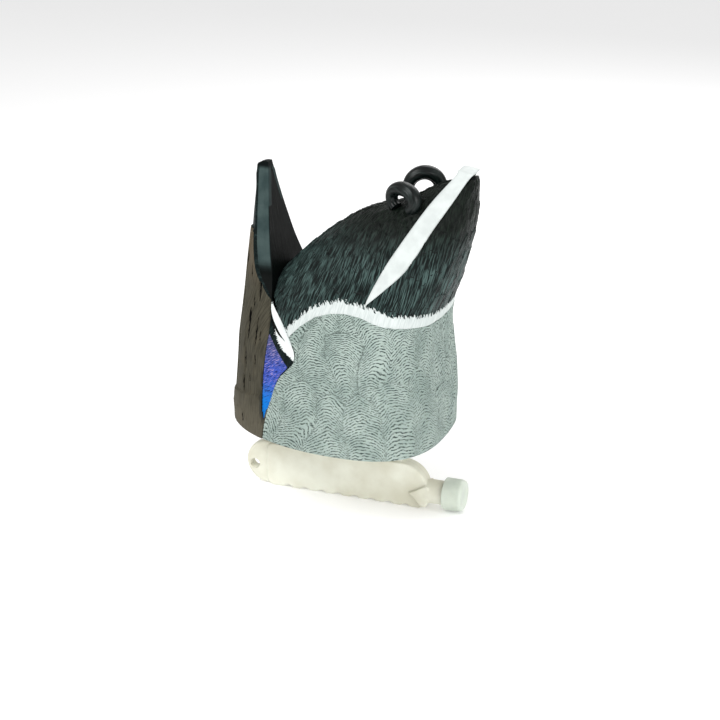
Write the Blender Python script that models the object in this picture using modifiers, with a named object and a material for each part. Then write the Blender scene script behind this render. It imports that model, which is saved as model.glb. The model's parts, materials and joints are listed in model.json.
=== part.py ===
"""Floating duck decoy of the tipped-up feeding kind: a hollow body with the tail in the air, its folded
wings, tail fan and curled tail feathers, and a hollow ballast keel that is filled through a screw cap.

Run with: blender --background --python part.py

Metres, +Z up. The bird stands on its head: +X is its belly side, -X its back, -Y its left side.
The origin is the middle of the keel's foot, on the surface that the decoy stands on.
"""

import math

import bmesh
import bpy
from mathutils import Matrix, Vector

# ---------------------------------------------------------------- driving dimensions
RIM_Z = 0.070            # the body's lower edge above the keel's foot
OVAL_X = 0.018           # the body is widest at this X
BELLY_POWER = 2.7        # how square the belly side of a section is; 2 is an ellipse
BACK_POWER = 2.0
GAP = 0.00035            # clearance between pieces that touch
SLIVER = 0.000012        # corners closer than this are one corner

# The body, one row for each slanted section, from the rim to the tail:
# back x, back z, belly x, belly z, half width, share of the chord at which it is widest
BODY = [
    (-0.1025, 0.0700, 0.0895, 0.0700, 0.0790, 0.625),
    (-0.1020, 0.1000, 0.0900, 0.0980, 0.0800, 0.620),
    (-0.0990, 0.1280, 0.0890, 0.1220, 0.0790, 0.615),
    (-0.0900, 0.1600, 0.0860, 0.1460, 0.0760, 0.615),
    (-0.0745, 0.1850, 0.0850, 0.1670, 0.0710, 0.620),
    (-0.0545, 0.2050, 0.0880, 0.1870, 0.0655, 0.630),
    (-0.0325, 0.2270, 0.0950, 0.2070, 0.0580, 0.620),
    (-0.0070, 0.2475, 0.1012, 0.2280, 0.0480, 0.605),
    (0.0200, 0.2640, 0.1062, 0.2480, 0.0385, 0.600),
    (0.0480, 0.2765, 0.1095, 0.2660, 0.0295, 0.580),
    (0.0750, 0.2885, 0.1103, 0.2820, 0.0210, 0.540),
    (0.0940, 0.2970, 0.1118, 0.2945, 0.0140, 0.500),
]

# The air space inside it, the same way
CAVITY = [
    (-0.0920, 0.0810, 0.0860, 0.0810, 0.0740, 0.615),
    (-0.0915, 0.1010, 0.0865, 0.0980, 0.0755, 0.610),
    (-0.0885, 0.1250, 0.0855, 0.1230, 0.0745, 0.610),
    (-0.0770, 0.1480, 0.0830, 0.1440, 0.0710, 0.610),
    (-0.0500, 0.1680, 0.0820, 0.1640, 0.0650, 0.580),
    (-0.0360, 0.1900, 0.0820, 0.1830, 0.0590, 0.590),
    (-0.0180, 0.2120, 0.0865, 0.2020, 0.0520, 0.600),
    (0.0060, 0.2330, 0.0920, 0.2220, 0.0400, 0.590),
    (0.0290, 0.2480, 0.0960, 0.2400, 0.0300, 0.580),
    (0.0490, 0.2600, 0.0985, 0.2550, 0.0210, 0.570),
]

# The folded wings, one row for each level:
# z, x of the back at the middle, half width, x of the side edge, x of the flat inner face, share of it
WINGS = [
    (0.0703, -0.1028, 0.0600, -0.0580, -0.0550, 0.00),
    (0.0880, -0.1028, 0.0605, -0.0545, -0.0550, 0.00),
    (0.1100, -0.1010, 0.0645, -0.0460, -0.0550, 0.00),
    (0.1300, -0.0990, 0.0695, -0.0340, -0.0550, 0.00),
    (0.1500, -0.0966, 0.0722, -0.0210, -0.0550, 0.05),
    (0.1700, -0.0940, 0.0605, -0.0345, -0.0520, 0.45),
    (0.1880, -0.0918, 0.0475, -0.0500, -0.0500, 0.90),
    (0.2050, -0.0895, 0.0350, -0.0670, -0.0540, 1.00),
    (0.2250, -0.0868, 0.0265, -0.0735, -0.0585, 1.00),
    (0.2450, -0.0842, 0.0195, -0.0760, -0.0620, 1.00),
    (0.2650, -0.0824, 0.0125, -0.0780, -0.0650, 1.00),
    (0.2850, -0.0810, 0.0065, -0.0790, -0.0675, 1.00),
    (0.2930, -0.0804, 0.0042, -0.0788, -0.0690, 1.00),
]
WING_THICK = 0.0030
WING_SEAT_GAP = 0.0012

# The tail fan's outline: distance along it from where it leaves the body, half width
TAIL_ROOT = Vector((0.0427, 0.0, 0.2030))
TAIL_AXIS = Vector((0.532, 0.0, 0.847)).normalized()
TAIL_HALF_THICK = 0.0066
TAIL_FAN = [
    (-0.014, 0.0520),
    (-0.004, 0.0580),
    (0.008, 0.0590),
    (0.020, 0.0548),
    (0.036, 0.0472),
    (0.058, 0.0382),
    (0.078, 0.0298),
    (0.097, 0.0215),
    (0.107, 0.0165),
    (0.1115, 0.0125),
    (0.1145, 0.0075),
]

CURL_CENTRE = Vector((0.056, 0.020, 0.277))   # of the bird's right-hand curl
CURL_RADIUS = 0.0128
CURL_TUBE = 0.0052
CURL_SPLAY = math.radians(25)

# The base: the ledge in the rim, the gasket on it and the pan under the gasket
PAN_INSET = 0.0058
PAN_BOTTOM, PAN_TOP = RIM_Z + 0.0030, RIM_Z + 0.0060
LEDGE_BOTTOM, LEDGE_TOP = RIM_Z + 0.0080, RIM_Z + 0.0110
LEDGE_WIDTH = 0.0080
BOSS_RADIUS, BOSS_TOP = 0.0042, RIM_Z + 0.0210
SCREW_INSET = PAN_INSET + 0.0052
SCREW_COUNT = 8
SCREW_RADIUS, SCREW_HEAD_RADIUS, SCREW_HEAD = 0.0015, 0.0034, 0.0020
SCREW_LENGTH = 0.0150

# The keel
KEEL_HALF_THICK = 0.0070
KEEL_TOP = 0.0400
EYE_PLACE, EYE_RADIUS = Vector((-0.0870, 0.0, 0.0175)), 0.0041
LUG_CENTRE, LUG_RADIUS, LUG_HALF_THICK = Vector((-0.0750, 0.0, 0.0205)), 0.0200, 0.0045
NOTCH_PITCH, NOTCH_RADIUS, NOTCH_DEPTH = 0.0156, 0.0060, 0.0018
KEEL_WALL = 0.0020
NECK_Z = 0.0150
NECK_RADIUS, NECK_BORE = 0.0105, 0.0083
NECK_END = 0.1025
TONGUE_HALF_THICK, TONGUE_X, TONGUE_TOP = 0.0040, (-0.058, 0.050), 0.0685
CHEEK_THICK = 0.0035
CHEEK_BOTTOM = KEEL_TOP + 0.0030
BOLT_X, BOLT_Z, BOLT_RADIUS = (-0.040, 0.032), 0.0545, 0.0025

# The cap and its thread
CAP_RADIUS, CAP_WALL = 0.0140, 0.0014
CAP_START, CAP_END, CAP_TOP_THICK = 0.0888, 0.1060, 0.0016
LINER_THICK = 0.0010
THREAD_PITCH, THREAD_TURNS = 0.0040, 1.25
THREAD_RIDGE = 0.0011

COLOURS = {
    "flank_grey": ((0.30, 0.35, 0.34, 1), 0.75),
    "wing_brown": ((0.10, 0.085, 0.07, 1), 0.75),
    "tail_white": ((0.85, 0.87, 0.88, 1), 0.6),
    "rump_black": ((0.012, 0.02, 0.018, 1), 0.45),
    "keel_plastic": ((0.60, 0.59, 0.50, 1), 0.5),
    "cap_plastic": ((0.70, 0.76, 0.68, 1), 0.45),
    "pan_plastic": ((0.42, 0.42, 0.37, 1), 0.6),
    "gasket_rubber": ((0.03, 0.03, 0.03, 1), 0.8),
    "liner_foam": ((0.85, 0.85, 0.82, 1), 0.8),
    "steel": ((0.60, 0.60, 0.61, 1), 0.3),
}


# ---------------------------------------------------------------- making things
def start_scene():
    """Empties the scene and adds a collection for the parts and one for the cutters."""
    for obj in list(bpy.data.objects):
        bpy.data.objects.remove(obj)
    for name in ("duck_decoy", "cutters"):
        bpy.context.scene.collection.children.link(bpy.data.collections.new(name))


def material(name):
    """The part's material, made the first time that it is asked for."""
    if name in bpy.data.materials:
        return bpy.data.materials[name]
    made = bpy.data.materials.new(name)
    made.use_nodes = True
    colour, roughness = COLOURS[name]
    shader = made.node_tree.nodes["Principled BSDF"]
    shader.inputs["Base Color"].default_value = colour
    shader.inputs["Roughness"].default_value = roughness
    shader.inputs["Metallic"].default_value = 1.0 if name == "steel" else 0.0
    return made


def add_object(name, mesh, group="cutters", finish=None):
    """Links a mesh as a new object, in the parts if it has a finish and in the cutters if not."""
    obj = bpy.data.objects.new(name, mesh)
    bpy.data.collections["duck_decoy" if finish else group].objects.link(obj)
    if finish:
        obj.data.materials.clear()
        obj.data.materials.append(material(finish))
    else:
        obj.hide_render = True
        obj.display_type = "WIRE"
    return obj


def finished(name, obj, finish, angle=35):
    """Turns a worked mesh into a named part, shaded smooth over its soft edges."""
    part = add_object(name, obj.data.copy(), finish=finish)
    part.matrix_world = obj.matrix_world.copy()
    part.data.shade_smooth()
    part.data.set_sharp_from_angle(angle=math.radians(angle))
    return part


def evaluated_mesh(obj):
    """The object's mesh with its modifiers applied."""
    bpy.context.view_layer.update()
    graph = bpy.context.evaluated_depsgraph_get()
    return bpy.data.meshes.new_from_object(obj.evaluated_get(graph))


def welded(mesh, distance=1e-6, outwards=True):
    """Closes a curve's caps or a turned profile's seam, with the faces pointing out."""
    bm = bmesh.new()
    bm.from_mesh(mesh)
    bmesh.ops.remove_doubles(bm, verts=bm.verts, dist=distance)
    if outwards:
        bmesh.ops.recalc_face_normals(bm, faces=bm.faces)
    bm.to_mesh(mesh)
    bm.free()
    return mesh


def cut(obj, other, operation="DIFFERENCE"):
    """Applies one Boolean of obj with other, and returns obj."""
    modifier = obj.modifiers.new("work", "BOOLEAN")
    modifier.operation = operation
    modifier.object = other
    obj.data = welded(evaluated_mesh(obj), SLIVER, outwards=False)
    obj.modifiers.clear()
    return obj


def join(obj, other):
    return cut(obj, other, "UNION")


def softened(obj, width, segments=2, angle=40):
    """Rounds the edges that are sharper than the angle."""
    bevel = obj.modifiers.new("soft", "BEVEL")
    bevel.width = width
    bevel.segments = segments
    bevel.limit_method = "ANGLE"
    bevel.angle_limit = math.radians(angle)
    obj.data = evaluated_mesh(obj)
    obj.modifiers.clear()
    return obj


def placed(obj, centre, turn=None):
    """Puts the place and turn into the mesh, so that every object sits at the origin."""
    matrix = Matrix.Translation(centre) @ (turn.to_4x4() if turn else Matrix.Identity(4))
    obj.data.transform(matrix)
    return obj


def cylinder(name, radius, length, centre, axis="Z", sides=24, end_radius=None):
    """A closed cylinder or cone about its centre, with its axis along X, Y or Z."""
    bm = bmesh.new()
    bmesh.ops.create_cone(
        bm,
        cap_ends=True,
        segments=sides,
        radius1=radius,
        radius2=radius if end_radius is None else end_radius,
        depth=length,
    )
    mesh = bpy.data.meshes.new(name)
    bm.to_mesh(mesh)
    bm.free()
    turns = {"X": Matrix.Rotation(math.pi / 2, 3, "Y"), "Y": Matrix.Rotation(-math.pi / 2, 3, "X"), "Z": None}
    return placed(add_object(name, mesh), centre, turns[axis])


def box(name, low, high):
    bm = bmesh.new()
    bmesh.ops.create_cube(bm, size=1.0)
    size = Vector(high) - Vector(low)
    bmesh.ops.scale(bm, vec=size, verts=bm.verts)
    mesh = bpy.data.meshes.new(name)
    bm.to_mesh(mesh)
    bm.free()
    return placed(add_object(name, mesh), (Vector(low) + Vector(high)) / 2)


def loft(name, rings, ladder=False):
    """A closed skin through rings of equal length. The end caps are flat, or ladders across a crescent."""
    bm = bmesh.new()
    rows = [[bm.verts.new(point) for point in ring] for ring in rings]
    count = len(rows[0])
    for low, high in zip(rows, rows[1:]):
        for i in range(count):
            j = (i + 1) % count
            bm.faces.new((low[i], low[j], high[j], high[i]))
    for row in (rows[0], rows[-1]):
        if not ladder:
            bm.faces.new(row)
            continue
        for i in range(count // 2 - 1):
            bm.faces.new((row[i], row[i + 1], row[count - 2 - i], row[count - 1 - i]))
    bmesh.ops.recalc_face_normals(bm, faces=bm.faces)
    mesh = bpy.data.meshes.new(name)
    bm.to_mesh(mesh)
    bm.free()
    return add_object(name, mesh)


def turned(name, profile, z, sides=32):
    """A solid turned about the X axis at the height z, from (x, radius) points, first to last on the axis."""
    bm = bmesh.new()
    points = [bm.verts.new((x, 0, radius)) for x, radius in profile]
    for a, b in zip(points, points[1:]):
        bm.edges.new((a, b))
    mesh = bpy.data.meshes.new(name)
    bm.to_mesh(mesh)
    bm.free()
    obj = add_object(name, mesh)
    screw = obj.modifiers.new("turn", "SCREW")
    screw.axis = "X"
    screw.steps = screw.render_steps = sides
    screw.use_merge_vertices = True
    screw.merge_threshold = 0.00001
    obj.data = welded(evaluated_mesh(obj))
    obj.modifiers.clear()
    return placed(obj, Vector((0, 0, z)))


def slab(name, outline, half_thick):
    """A flat plate from an outline of (x, z) points, standing in the XZ plane about y = 0."""
    curve = bpy.data.curves.new(name, "CURVE")
    curve.dimensions = "2D"
    curve.fill_mode = "BOTH"
    curve.extrude = half_thick
    spline = curve.splines.new("POLY")
    spline.points.add(len(outline) - 1)
    for point, (x, z) in zip(spline.points, outline):
        point.co = (x, z, 0, 1)
    spline.use_cyclic_u = True
    holder = bpy.data.objects.new(name + "_curve", curve)
    bpy.data.collections["cutters"].objects.link(holder)
    mesh = welded(evaluated_mesh(holder))
    bpy.data.objects.remove(holder)
    return placed(add_object(name, mesh), Vector(), Matrix.Rotation(math.pi / 2, 3, "X"))


def tube(name, points, radius, resolution=2):
    """A round bar through the points, with closed ends."""
    curve = bpy.data.curves.new(name, "CURVE")
    curve.dimensions = "3D"
    curve.bevel_depth = radius
    curve.bevel_resolution = resolution
    curve.use_fill_caps = True
    spline = curve.splines.new("POLY")
    spline.points.add(len(points) - 1)
    for point, place in zip(spline.points, points):
        point.co = (*place, 1)
    holder = bpy.data.objects.new(name + "_curve", curve)
    bpy.data.collections["cutters"].objects.link(holder)
    mesh = welded(evaluated_mesh(holder))
    bpy.data.objects.remove(holder)
    return add_object(name, mesh)


def arc(centre, radius, start, end, steps):
    """Points (x, z) on an arc, with its angles in degrees."""
    turns = [math.radians(start + (end - start) * i / steps) for i in range(steps + 1)]
    return [(centre[0] + radius * math.cos(a), centre[1] + radius * math.sin(a)) for a in turns]


# ---------------------------------------------------------------- curves through the tables
def eased(rows, place):
    """The row at a fractional place in the table, on a smooth curve through its rows."""
    i = min(int(place), len(rows) - 2)
    t = place - i
    a, b = rows[i], rows[i + 1]
    before, after = rows[max(i - 1, 0)], rows[min(i + 2, len(rows) - 1)]
    weights = (2 * t**3 - 3 * t**2 + 1, t**3 - 2 * t**2 + t, -2 * t**3 + 3 * t**2, t**3 - t**2)
    made = []
    for p, q, prior, later in zip(a, b, before, after):
        leave, arrive = (q - prior) / 2, (later - p) / 2
        made.append(weights[0] * p + weights[1] * leave + weights[2] * q + weights[3] * arrive)
    return made


def level(rows, z):
    """The fractional place in a table of levels at which its first column is z."""
    for i, (low, high) in enumerate(zip(rows, rows[1:])):
        if z <= high[0]:
            return i + (z - low[0]) / (high[0] - low[0])
    return len(rows) - 1.0


def power(value, exponent):
    return math.copysign(abs(value) ** exponent, value)


def section(row, count, grow=0.0):
    """One slanted ring of the body: an ellipse on the back side, squarer on the belly side."""
    back = Vector((row[0], 0, row[1]))
    belly = Vector((row[2], 0, row[3]))
    along = (belly - back).normalized()
    back, belly = back - along * grow, belly + along * grow
    middle = back.lerp(belly, row[5])
    ring = []
    for i in range(count):
        angle = 2 * math.pi * i / count
        c, s = math.cos(angle), math.sin(angle)
        end, exponent = (belly, 2 / BELLY_POWER) if c >= 0 else (back, 2 / BACK_POWER)
        point = middle.lerp(end, abs(c) ** exponent)
        point.y = power(s, exponent) * (row[4] + grow)
        ring.append(point)
    return ring


def oval(inset, z, count=32):
    """A level ring of the rim's outline, moved in by the inset."""
    row = list(BODY[0])
    row[0] += inset
    row[2] -= inset
    row[4] -= inset
    return [Vector((p.x, p.y, z)) for p in section(row, count)]


def body_volume(name, grow=0.0, count=40, steps=22):
    """The body's outer form, closed across the rim and rounded off at the tail."""
    rings = [section(eased(BODY, (len(BODY) - 1) * i / steps), count, grow) for i in range(steps + 1)]
    top = rings[-1]
    middle = sum(top, Vector()) / count
    rings.append([middle.lerp(p, 0.62) + Vector((0.0040, 0, 0.0050)) for p in top])
    return loft(name, rings)


def body_space(steps=10):
    """What is cut out of the body: the pan's recess, the opening inside the ledge and the air above."""
    rings = [oval(PAN_INSET, z) for z in (RIM_Z - 0.003, LEDGE_BOTTOM)]
    rings += [oval(PAN_INSET + LEDGE_WIDTH, z) for z in (LEDGE_BOTTOM, LEDGE_TOP)]
    air = [section(eased(CAVITY, (len(CAVITY) - 1) * i / steps), len(rings[0])) for i in range(steps + 1)]
    return loft("body_space", rings + air)


def ring_of_wings(z, count, deeper=0.0, wider=0.0):
    """One level ring of the folded wings: the outer arc, then the inner one back."""
    row = eased(WINGS, level(WINGS, z))
    _, back_x, half, edge_x, flat_x, flat = row
    reach = OVAL_X - back_x
    edge = math.acos(min(1.0, max(-1.0, (OVAL_X - edge_x) / reach)))
    across = half / math.sin(edge)
    edge += deeper / across
    angles = [edge * (2 * i / count - 1) for i in range(count + 1)]
    outer = []
    for a in angles:
        outer.append(Vector((OVAL_X - (reach + wider) * math.cos(a), (across + wider) * math.sin(a), z)))
    inner = []
    for a in reversed(angles):
        sunk = WING_THICK + deeper
        curved = Vector((OVAL_X - (reach - sunk) * math.cos(a), (across - sunk) * math.sin(a), z))
        straight = Vector((flat_x + deeper, (half + deeper) * a / edge, z))
        inner.append(curved.lerp(straight, flat))
    return outer + inner


def wings_volume(name, count, deeper=0.0, wider=0.0):
    low, high = WINGS[0][0], WINGS[-1][0]
    levels = [low + (high - low) * i / 20 for i in range(21)]
    rings = [ring_of_wings(z, count, deeper, wider) for z in levels]
    if deeper:
        rings.insert(0, [p - Vector((0, 0, 0.012)) for p in rings[0]])
        rings.append([p + Vector((0, 0, 0.004)) for p in rings[-1]])
    else:
        top = rings[-1]
        middle = sum(top, Vector()) / len(top)
        rings.append([middle.lerp(p, 0.6) + Vector((0, 0, 0.0018)) for p in top])
    return loft(name, rings, ladder=True)


def tail_volume(name, grow=0.0):
    """The tail fan as a flat plate that leans with TAIL_AXIS."""
    side = [(half + grow, along) for along, half in TAIL_FAN]
    side[0] = (side[0][0], side[0][1] - grow)
    side.append((0.0, TAIL_FAN[-1][0] + 0.0010 + grow))
    outline = side + [(-half, along) for half, along in reversed(side[:-1])]
    plate = slab(name, outline, TAIL_HALF_THICK + grow)
    # The slab stands in XZ. Its x becomes y here, its z the tail's axis and its thickness the normal.
    normal = TAIL_AXIS.cross(Vector((0, 1, 0)))
    turn = Matrix((Vector((0, 1, 0)), normal, TAIL_AXIS)).transposed()
    return placed(plate, TAIL_ROOT, turn)


# ---------------------------------------------------------------- the parts
def screw_places():
    """Centres of the pan's screws, on a line inside the ledge."""
    ring = oval(SCREW_INSET, 0, SCREW_COUNT * 2)
    return [ring[2 * i + 1] for i in range(SCREW_COUNT)]


def make_screw(name, place):
    """A pan screw: its head is under the pan and its shank stands up through the gasket into a boss."""
    face = place + Vector((0, 0, PAN_BOTTOM - GAP - SCREW_HEAD))
    middle = face + Vector((0, 0, SCREW_HEAD / 2))
    head = softened(cylinder(name + "_head", SCREW_HEAD_RADIUS, SCREW_HEAD, middle, sides=14), 0.0006, 1)
    middle = face + Vector((0, 0, SCREW_HEAD - 0.0006 + SCREW_LENGTH / 2))
    join(head, cylinder(name + "_shank", SCREW_RADIUS, SCREW_LENGTH, middle, sides=8))
    for reach_x, reach_y in ((0.0021, 0.0004), (0.0004, 0.0021)):
        reach = Vector((reach_x, reach_y, 0.0009))
        cut(head, box(name + "_slot", face - reach, face + reach))
    finished(name, head, "steel")


def make_body(peg_holes):
    """The hollow body: skin, air space, screw bosses and ledge, with the seats of wings, tail and curls."""
    body = body_volume("body_work")
    cut(body, body_space())
    for i, place in enumerate(screw_places()):
        height = BOSS_TOP - LEDGE_BOTTOM - 0.0005
        middle = place + Vector((0, 0, BOSS_TOP - height / 2))
        join(body, cylinder(f"boss_{i}", BOSS_RADIUS, height, middle, sides=12))
    for i, place in enumerate(screw_places()):
        middle = place + Vector((0, 0, LEDGE_BOTTOM + 0.0045))
        cut(body, cylinder(f"boss_hole_{i}", SCREW_RADIUS + 0.0002, 0.0135, middle, sides=12))
    cut(body, wings_volume("wings_seat", 20, deeper=WING_SEAT_GAP, wider=0.012))
    cut(body, tail_volume("tail_seat", GAP))
    for hole in peg_holes:
        cut(body, hole)
    return finished("body_shell", body, "flank_grey", 50)


def make_wings():
    finished("folded_wings", wings_volume("wings_work", 20), "wing_brown", 50)


def make_tail():
    """The tail fan, hollowed from its lower end, which is inside the body."""
    tail = softened(tail_volume("tail_work"), 0.0018, 2)
    pocket = tail_volume("tail_pocket", -0.0030)
    pocket.data.transform(Matrix.Translation(-TAIL_AXIS * 0.004))
    cut(tail, pocket)
    finished("tail_fan", tail, "tail_white")


def curl_points(side, start, end, steps):
    """Points of a curl's centre line, in the plane that it is splayed to."""
    centre = Vector((CURL_CENTRE.x, side * CURL_CENTRE.y, CURL_CENTRE.z))
    across = Vector((math.cos(CURL_SPLAY), side * math.sin(CURL_SPLAY), 0))
    points = []
    for i in range(steps + 1):
        a = math.radians(start + (end - start) * i / steps)
        points.append(centre + (across * math.cos(a) + Vector((0, 0, 1)) * math.sin(a)) * CURL_RADIUS)
    return points


def make_curls():
    """The two curled feathers, cut to sit on the rump, each with a peg. Returns the pegs' holes."""
    seat = body_volume("curl_seat", grow=GAP)
    holes = []
    for side, word in ((-1, "left"), (1, "right")):
        curl = tube(f"curl_{word}_work", curl_points(side, -50, 235, 26), CURL_TUBE)
        cut(curl, seat)
        root = curl_points(side, 180, 200, 1)[0]
        top, foot = root + Vector((0, 0, 0.002)), root + Vector((0.0015, 0, -0.016))
        peg = tube(f"curl_{word}_peg", [top, foot], 0.0024, 1)
        join(curl, peg)
        holes.append(tube(f"curl_{word}_hole", [top, foot + (foot - top) * 0.04], 0.0024 + 0.0003, 1))
        finished(f"tail_curl_{word}", curl, "rump_black")
    return holes


VENT_X = -0.075


def make_pan():
    """The base pan: a plate recessed in the rim, with the two cheeks that take the keel's tongue."""
    pan = loft("pan_work", [oval(PAN_INSET + GAP, z) for z in (PAN_BOTTOM, PAN_TOP)])
    gap = TONGUE_HALF_THICK + GAP
    low_x, high_x = TONGUE_X[0] - 0.004, TONGUE_X[1] + 0.004
    cheeks = slab(
        "cheeks",
        [(low_x, PAN_BOTTOM + 0.001)]
        + arc((low_x + 0.008, CHEEK_BOTTOM + 0.008), 0.008, 180, 270, 4)
        + arc((high_x - 0.008, CHEEK_BOTTOM + 0.008), 0.008, 270, 360, 4)
        + [(high_x, PAN_BOTTOM + 0.001)],
        gap + CHEEK_THICK,
    )
    softened(cheeks, 0.0010, 1)
    join(pan, cheeks)
    low, high = (low_x - 0.01, -gap, CHEEK_BOTTOM - 0.01), (high_x + 0.01, gap, PAN_BOTTOM - 0.0004)
    cut(pan, box("tongue_slot", low, high))
    for i, x in enumerate(BOLT_X):
        cut(pan, cylinder(f"cheek_hole_{i}", BOLT_RADIUS + 0.0003, 0.04, (x, 0, BOLT_Z), "Y", 16))
    for i, place in enumerate(screw_places()):
        middle = place + Vector((0, 0, PAN_TOP))
        cut(pan, cylinder(f"pan_hole_{i}", SCREW_RADIUS + 0.0004, 0.01, middle, sides=12))
    cut(pan, cylinder("vent_hole", 0.0040, 0.01, (VENT_X, 0, PAN_TOP), sides=20))
    finished("hull_pan", pan, "pan_plastic")


def make_vent_plug():
    """The soft plug in the pan's vent hole: a flat head outside and a tapered shank."""
    head = cylinder("vent_head", 0.0062, 0.0018, (VENT_X, 0, PAN_BOTTOM - GAP - 0.0009), sides=24)
    softened(head, 0.0006, 1)
    middle = (VENT_X, 0, PAN_BOTTOM + 0.0028)
    join(head, cylinder("vent_shank", 0.0036, 0.0075, middle, sides=20, end_radius=0.0033))
    finished("vent_plug", head, "gasket_rubber")


def make_gasket():
    ring = loft("gasket_work", [oval(PAN_INSET + GAP, z) for z in (PAN_TOP + GAP, LEDGE_BOTTOM - GAP)])
    inset = PAN_INSET + LEDGE_WIDTH + 0.0020
    cut(ring, loft("gasket_inside", [oval(inset, z) for z in (PAN_TOP - 0.002, LEDGE_BOTTOM + 0.002)]))
    for i, place in enumerate(screw_places()):
        middle = place + Vector((0, 0, PAN_TOP))
        cut(ring, cylinder(f"gasket_hole_{i}", SCREW_RADIUS + 0.0004, 0.01, middle, sides=12))
    finished("pan_gasket", ring, "gasket_rubber")


def helix(radius, start_x, steps_per_turn=18):
    """Points of a thread's ridge, a right-handed helix about the neck's axis."""
    points = []
    for i in range(int(THREAD_TURNS * steps_per_turn) + 1):
        a = 2 * math.pi * i / steps_per_turn
        x = start_x + THREAD_PITCH * i / steps_per_turn
        points.append(Vector((x, radius * math.cos(a), NECK_Z + radius * math.sin(a))))
    return points


def keel_outline(inset=0.0):
    """The keel's side view. The inset one is its air space."""
    left, right, low, high = -0.0750 + inset, 0.0745 - inset, 0.0 + inset, KEEL_TOP - inset
    soft = 0.007 - inset / 2
    corner = 0.023
    return (
        arc((left + soft, low + soft), soft, 180, 270, 4)
        + [(right - 0.0070, low), (right - 0.0012, low + 0.0056), (right, low + 0.0080)]
        + arc((right - corner, high - corner), corner, 0, 90, 6)
        + arc((left + soft, high - soft), soft, 90, 180, 4)
    )


def make_keel():
    """The hollow keel: flat-sided bottle with a line eye, a notched foot, a tongue and a threaded neck."""
    keel = softened(slab("keel_work", keel_outline(), KEEL_HALF_THICK), 0.0035, 2)
    x, _, z = LUG_CENTRE
    root = [(-0.060, z - LUG_RADIUS + 0.004), (-0.060, z + LUG_RADIUS - 0.004)]
    lug = slab("lug", arc((x, z), LUG_RADIUS, 75, 285, 12) + root, LUG_HALF_THICK)
    join(keel, softened(lug, 0.0015, 1))
    low, high = (TONGUE_X[0], -TONGUE_HALF_THICK, KEEL_TOP - 0.003), (TONGUE_X[1], TONGUE_HALF_THICK, TONGUE_TOP)
    join(keel, box("tongue", low, high))
    shoulder = [(0.0440, 0), (0.0440, 0.0045), (0.0560, KEEL_HALF_THICK + 0.0002), (0.0740, NECK_RADIUS)]
    join(keel, turned("neck", shoulder + [(NECK_END, NECK_RADIUS), (NECK_END, 0)], NECK_Z))
    air = softened(slab("keel_air", keel_outline(KEEL_WALL + 0.0012), KEEL_HALF_THICK - KEEL_WALL), 0.0018, 1)
    bore = [(0.0600, 0), (0.0600, KEEL_HALF_THICK - KEEL_WALL - 0.0006), (0.0745, NECK_BORE)]
    join(air, turned("bore", bore + [(NECK_END + 0.01, NECK_BORE), (NECK_END + 0.01, 0)], NECK_Z, 28))
    cut(keel, air)
    cut(keel, cylinder("line_eye", EYE_RADIUS, 0.03, EYE_PLACE, "Y", 24))
    for step in range(-4, 5):
        if step:
            notch_x = (abs(step) - 0.5) * math.copysign(NOTCH_PITCH, step)
            middle = (notch_x, 0, NOTCH_DEPTH - NOTCH_RADIUS)
            cut(keel, cylinder(f"notch_{step}", NOTCH_RADIUS, 0.03, middle, "Y", 32))
    for i, bolt_x in enumerate(BOLT_X):
        cut(keel, cylinder(f"tongue_hole_{i}", BOLT_RADIUS + 0.0003, 0.03, (bolt_x, 0, BOLT_Z), "Y", 16))
    join(keel, tube("neck_thread", helix(NECK_RADIUS + 0.0003, CAP_START + 0.0050), THREAD_RIDGE, 1))
    finished("keel_bottle", keel, "keel_plastic")


def make_cap():
    """The screw cap: a cup with a thread inside."""
    inner = CAP_RADIUS - CAP_WALL
    inner_end = CAP_END - CAP_TOP_THICK
    edge = 0.0016
    rounded = [(CAP_END - edge + x, CAP_RADIUS - edge + r) for x, r in arc((0, 0), edge, 0, 90, 3)]
    outer = [(CAP_END, 0)] + rounded + [(CAP_START + 0.0004, CAP_RADIUS), (CAP_START, CAP_RADIUS - 0.0004)]
    cap = turned("cap_work", outer + [(CAP_START, inner), (inner_end, inner), (inner_end, 0)], NECK_Z, 40)
    ridge = helix(inner - 0.0001, CAP_START + 0.0050 - THREAD_PITCH / 2)
    join(cap, tube("cap_thread", ridge, THREAD_RIDGE - 0.0001, 1))
    finished("keel_cap", cap, "cap_plastic")
    liner_x = inner_end - GAP - LINER_THICK / 2
    liner = cylinder("liner_work", inner - 0.0004, LINER_THICK, (liner_x, 0, NECK_Z), "X", 32)
    finished("cap_liner", liner, "liner_foam")


def make_bolts():
    """The two bolts through the cheeks and the tongue, and their nuts."""
    outside = TONGUE_HALF_THICK + GAP + CHEEK_THICK
    for word, x in zip(("rear", "front"), BOLT_X):
        head = cylinder(f"bolt_{word}_head", 0.0046, 0.0030, (x, -outside - GAP - 0.0015, BOLT_Z), "Y", 24)
        softened(head, 0.0009, 2)
        shank = cylinder(f"bolt_{word}_shank", BOLT_RADIUS, 0.0235, (x, -outside + 0.0105, BOLT_Z), "Y", 16)
        join(head, shank)
        low, high = (x - 0.0036, -outside - 0.006, BOLT_Z - 0.0005), (x + 0.0036, -outside - 0.0022, BOLT_Z + 0.0005)
        cut(head, box(f"bolt_{word}_slot", low, high))
        finished(f"keel_bolt_{word}", head, "steel")
        nut = cylinder(f"nut_{word}_work", 0.0046, 0.0038, (x, outside + GAP + 0.0019, BOLT_Z), "Y", 6)
        cut(nut, cylinder(f"nut_{word}_hole", BOLT_RADIUS + 0.0003, 0.02, (x, outside, BOLT_Z), "Y", 16))
        finished(f"keel_nut_{word}", nut, "steel")


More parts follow.
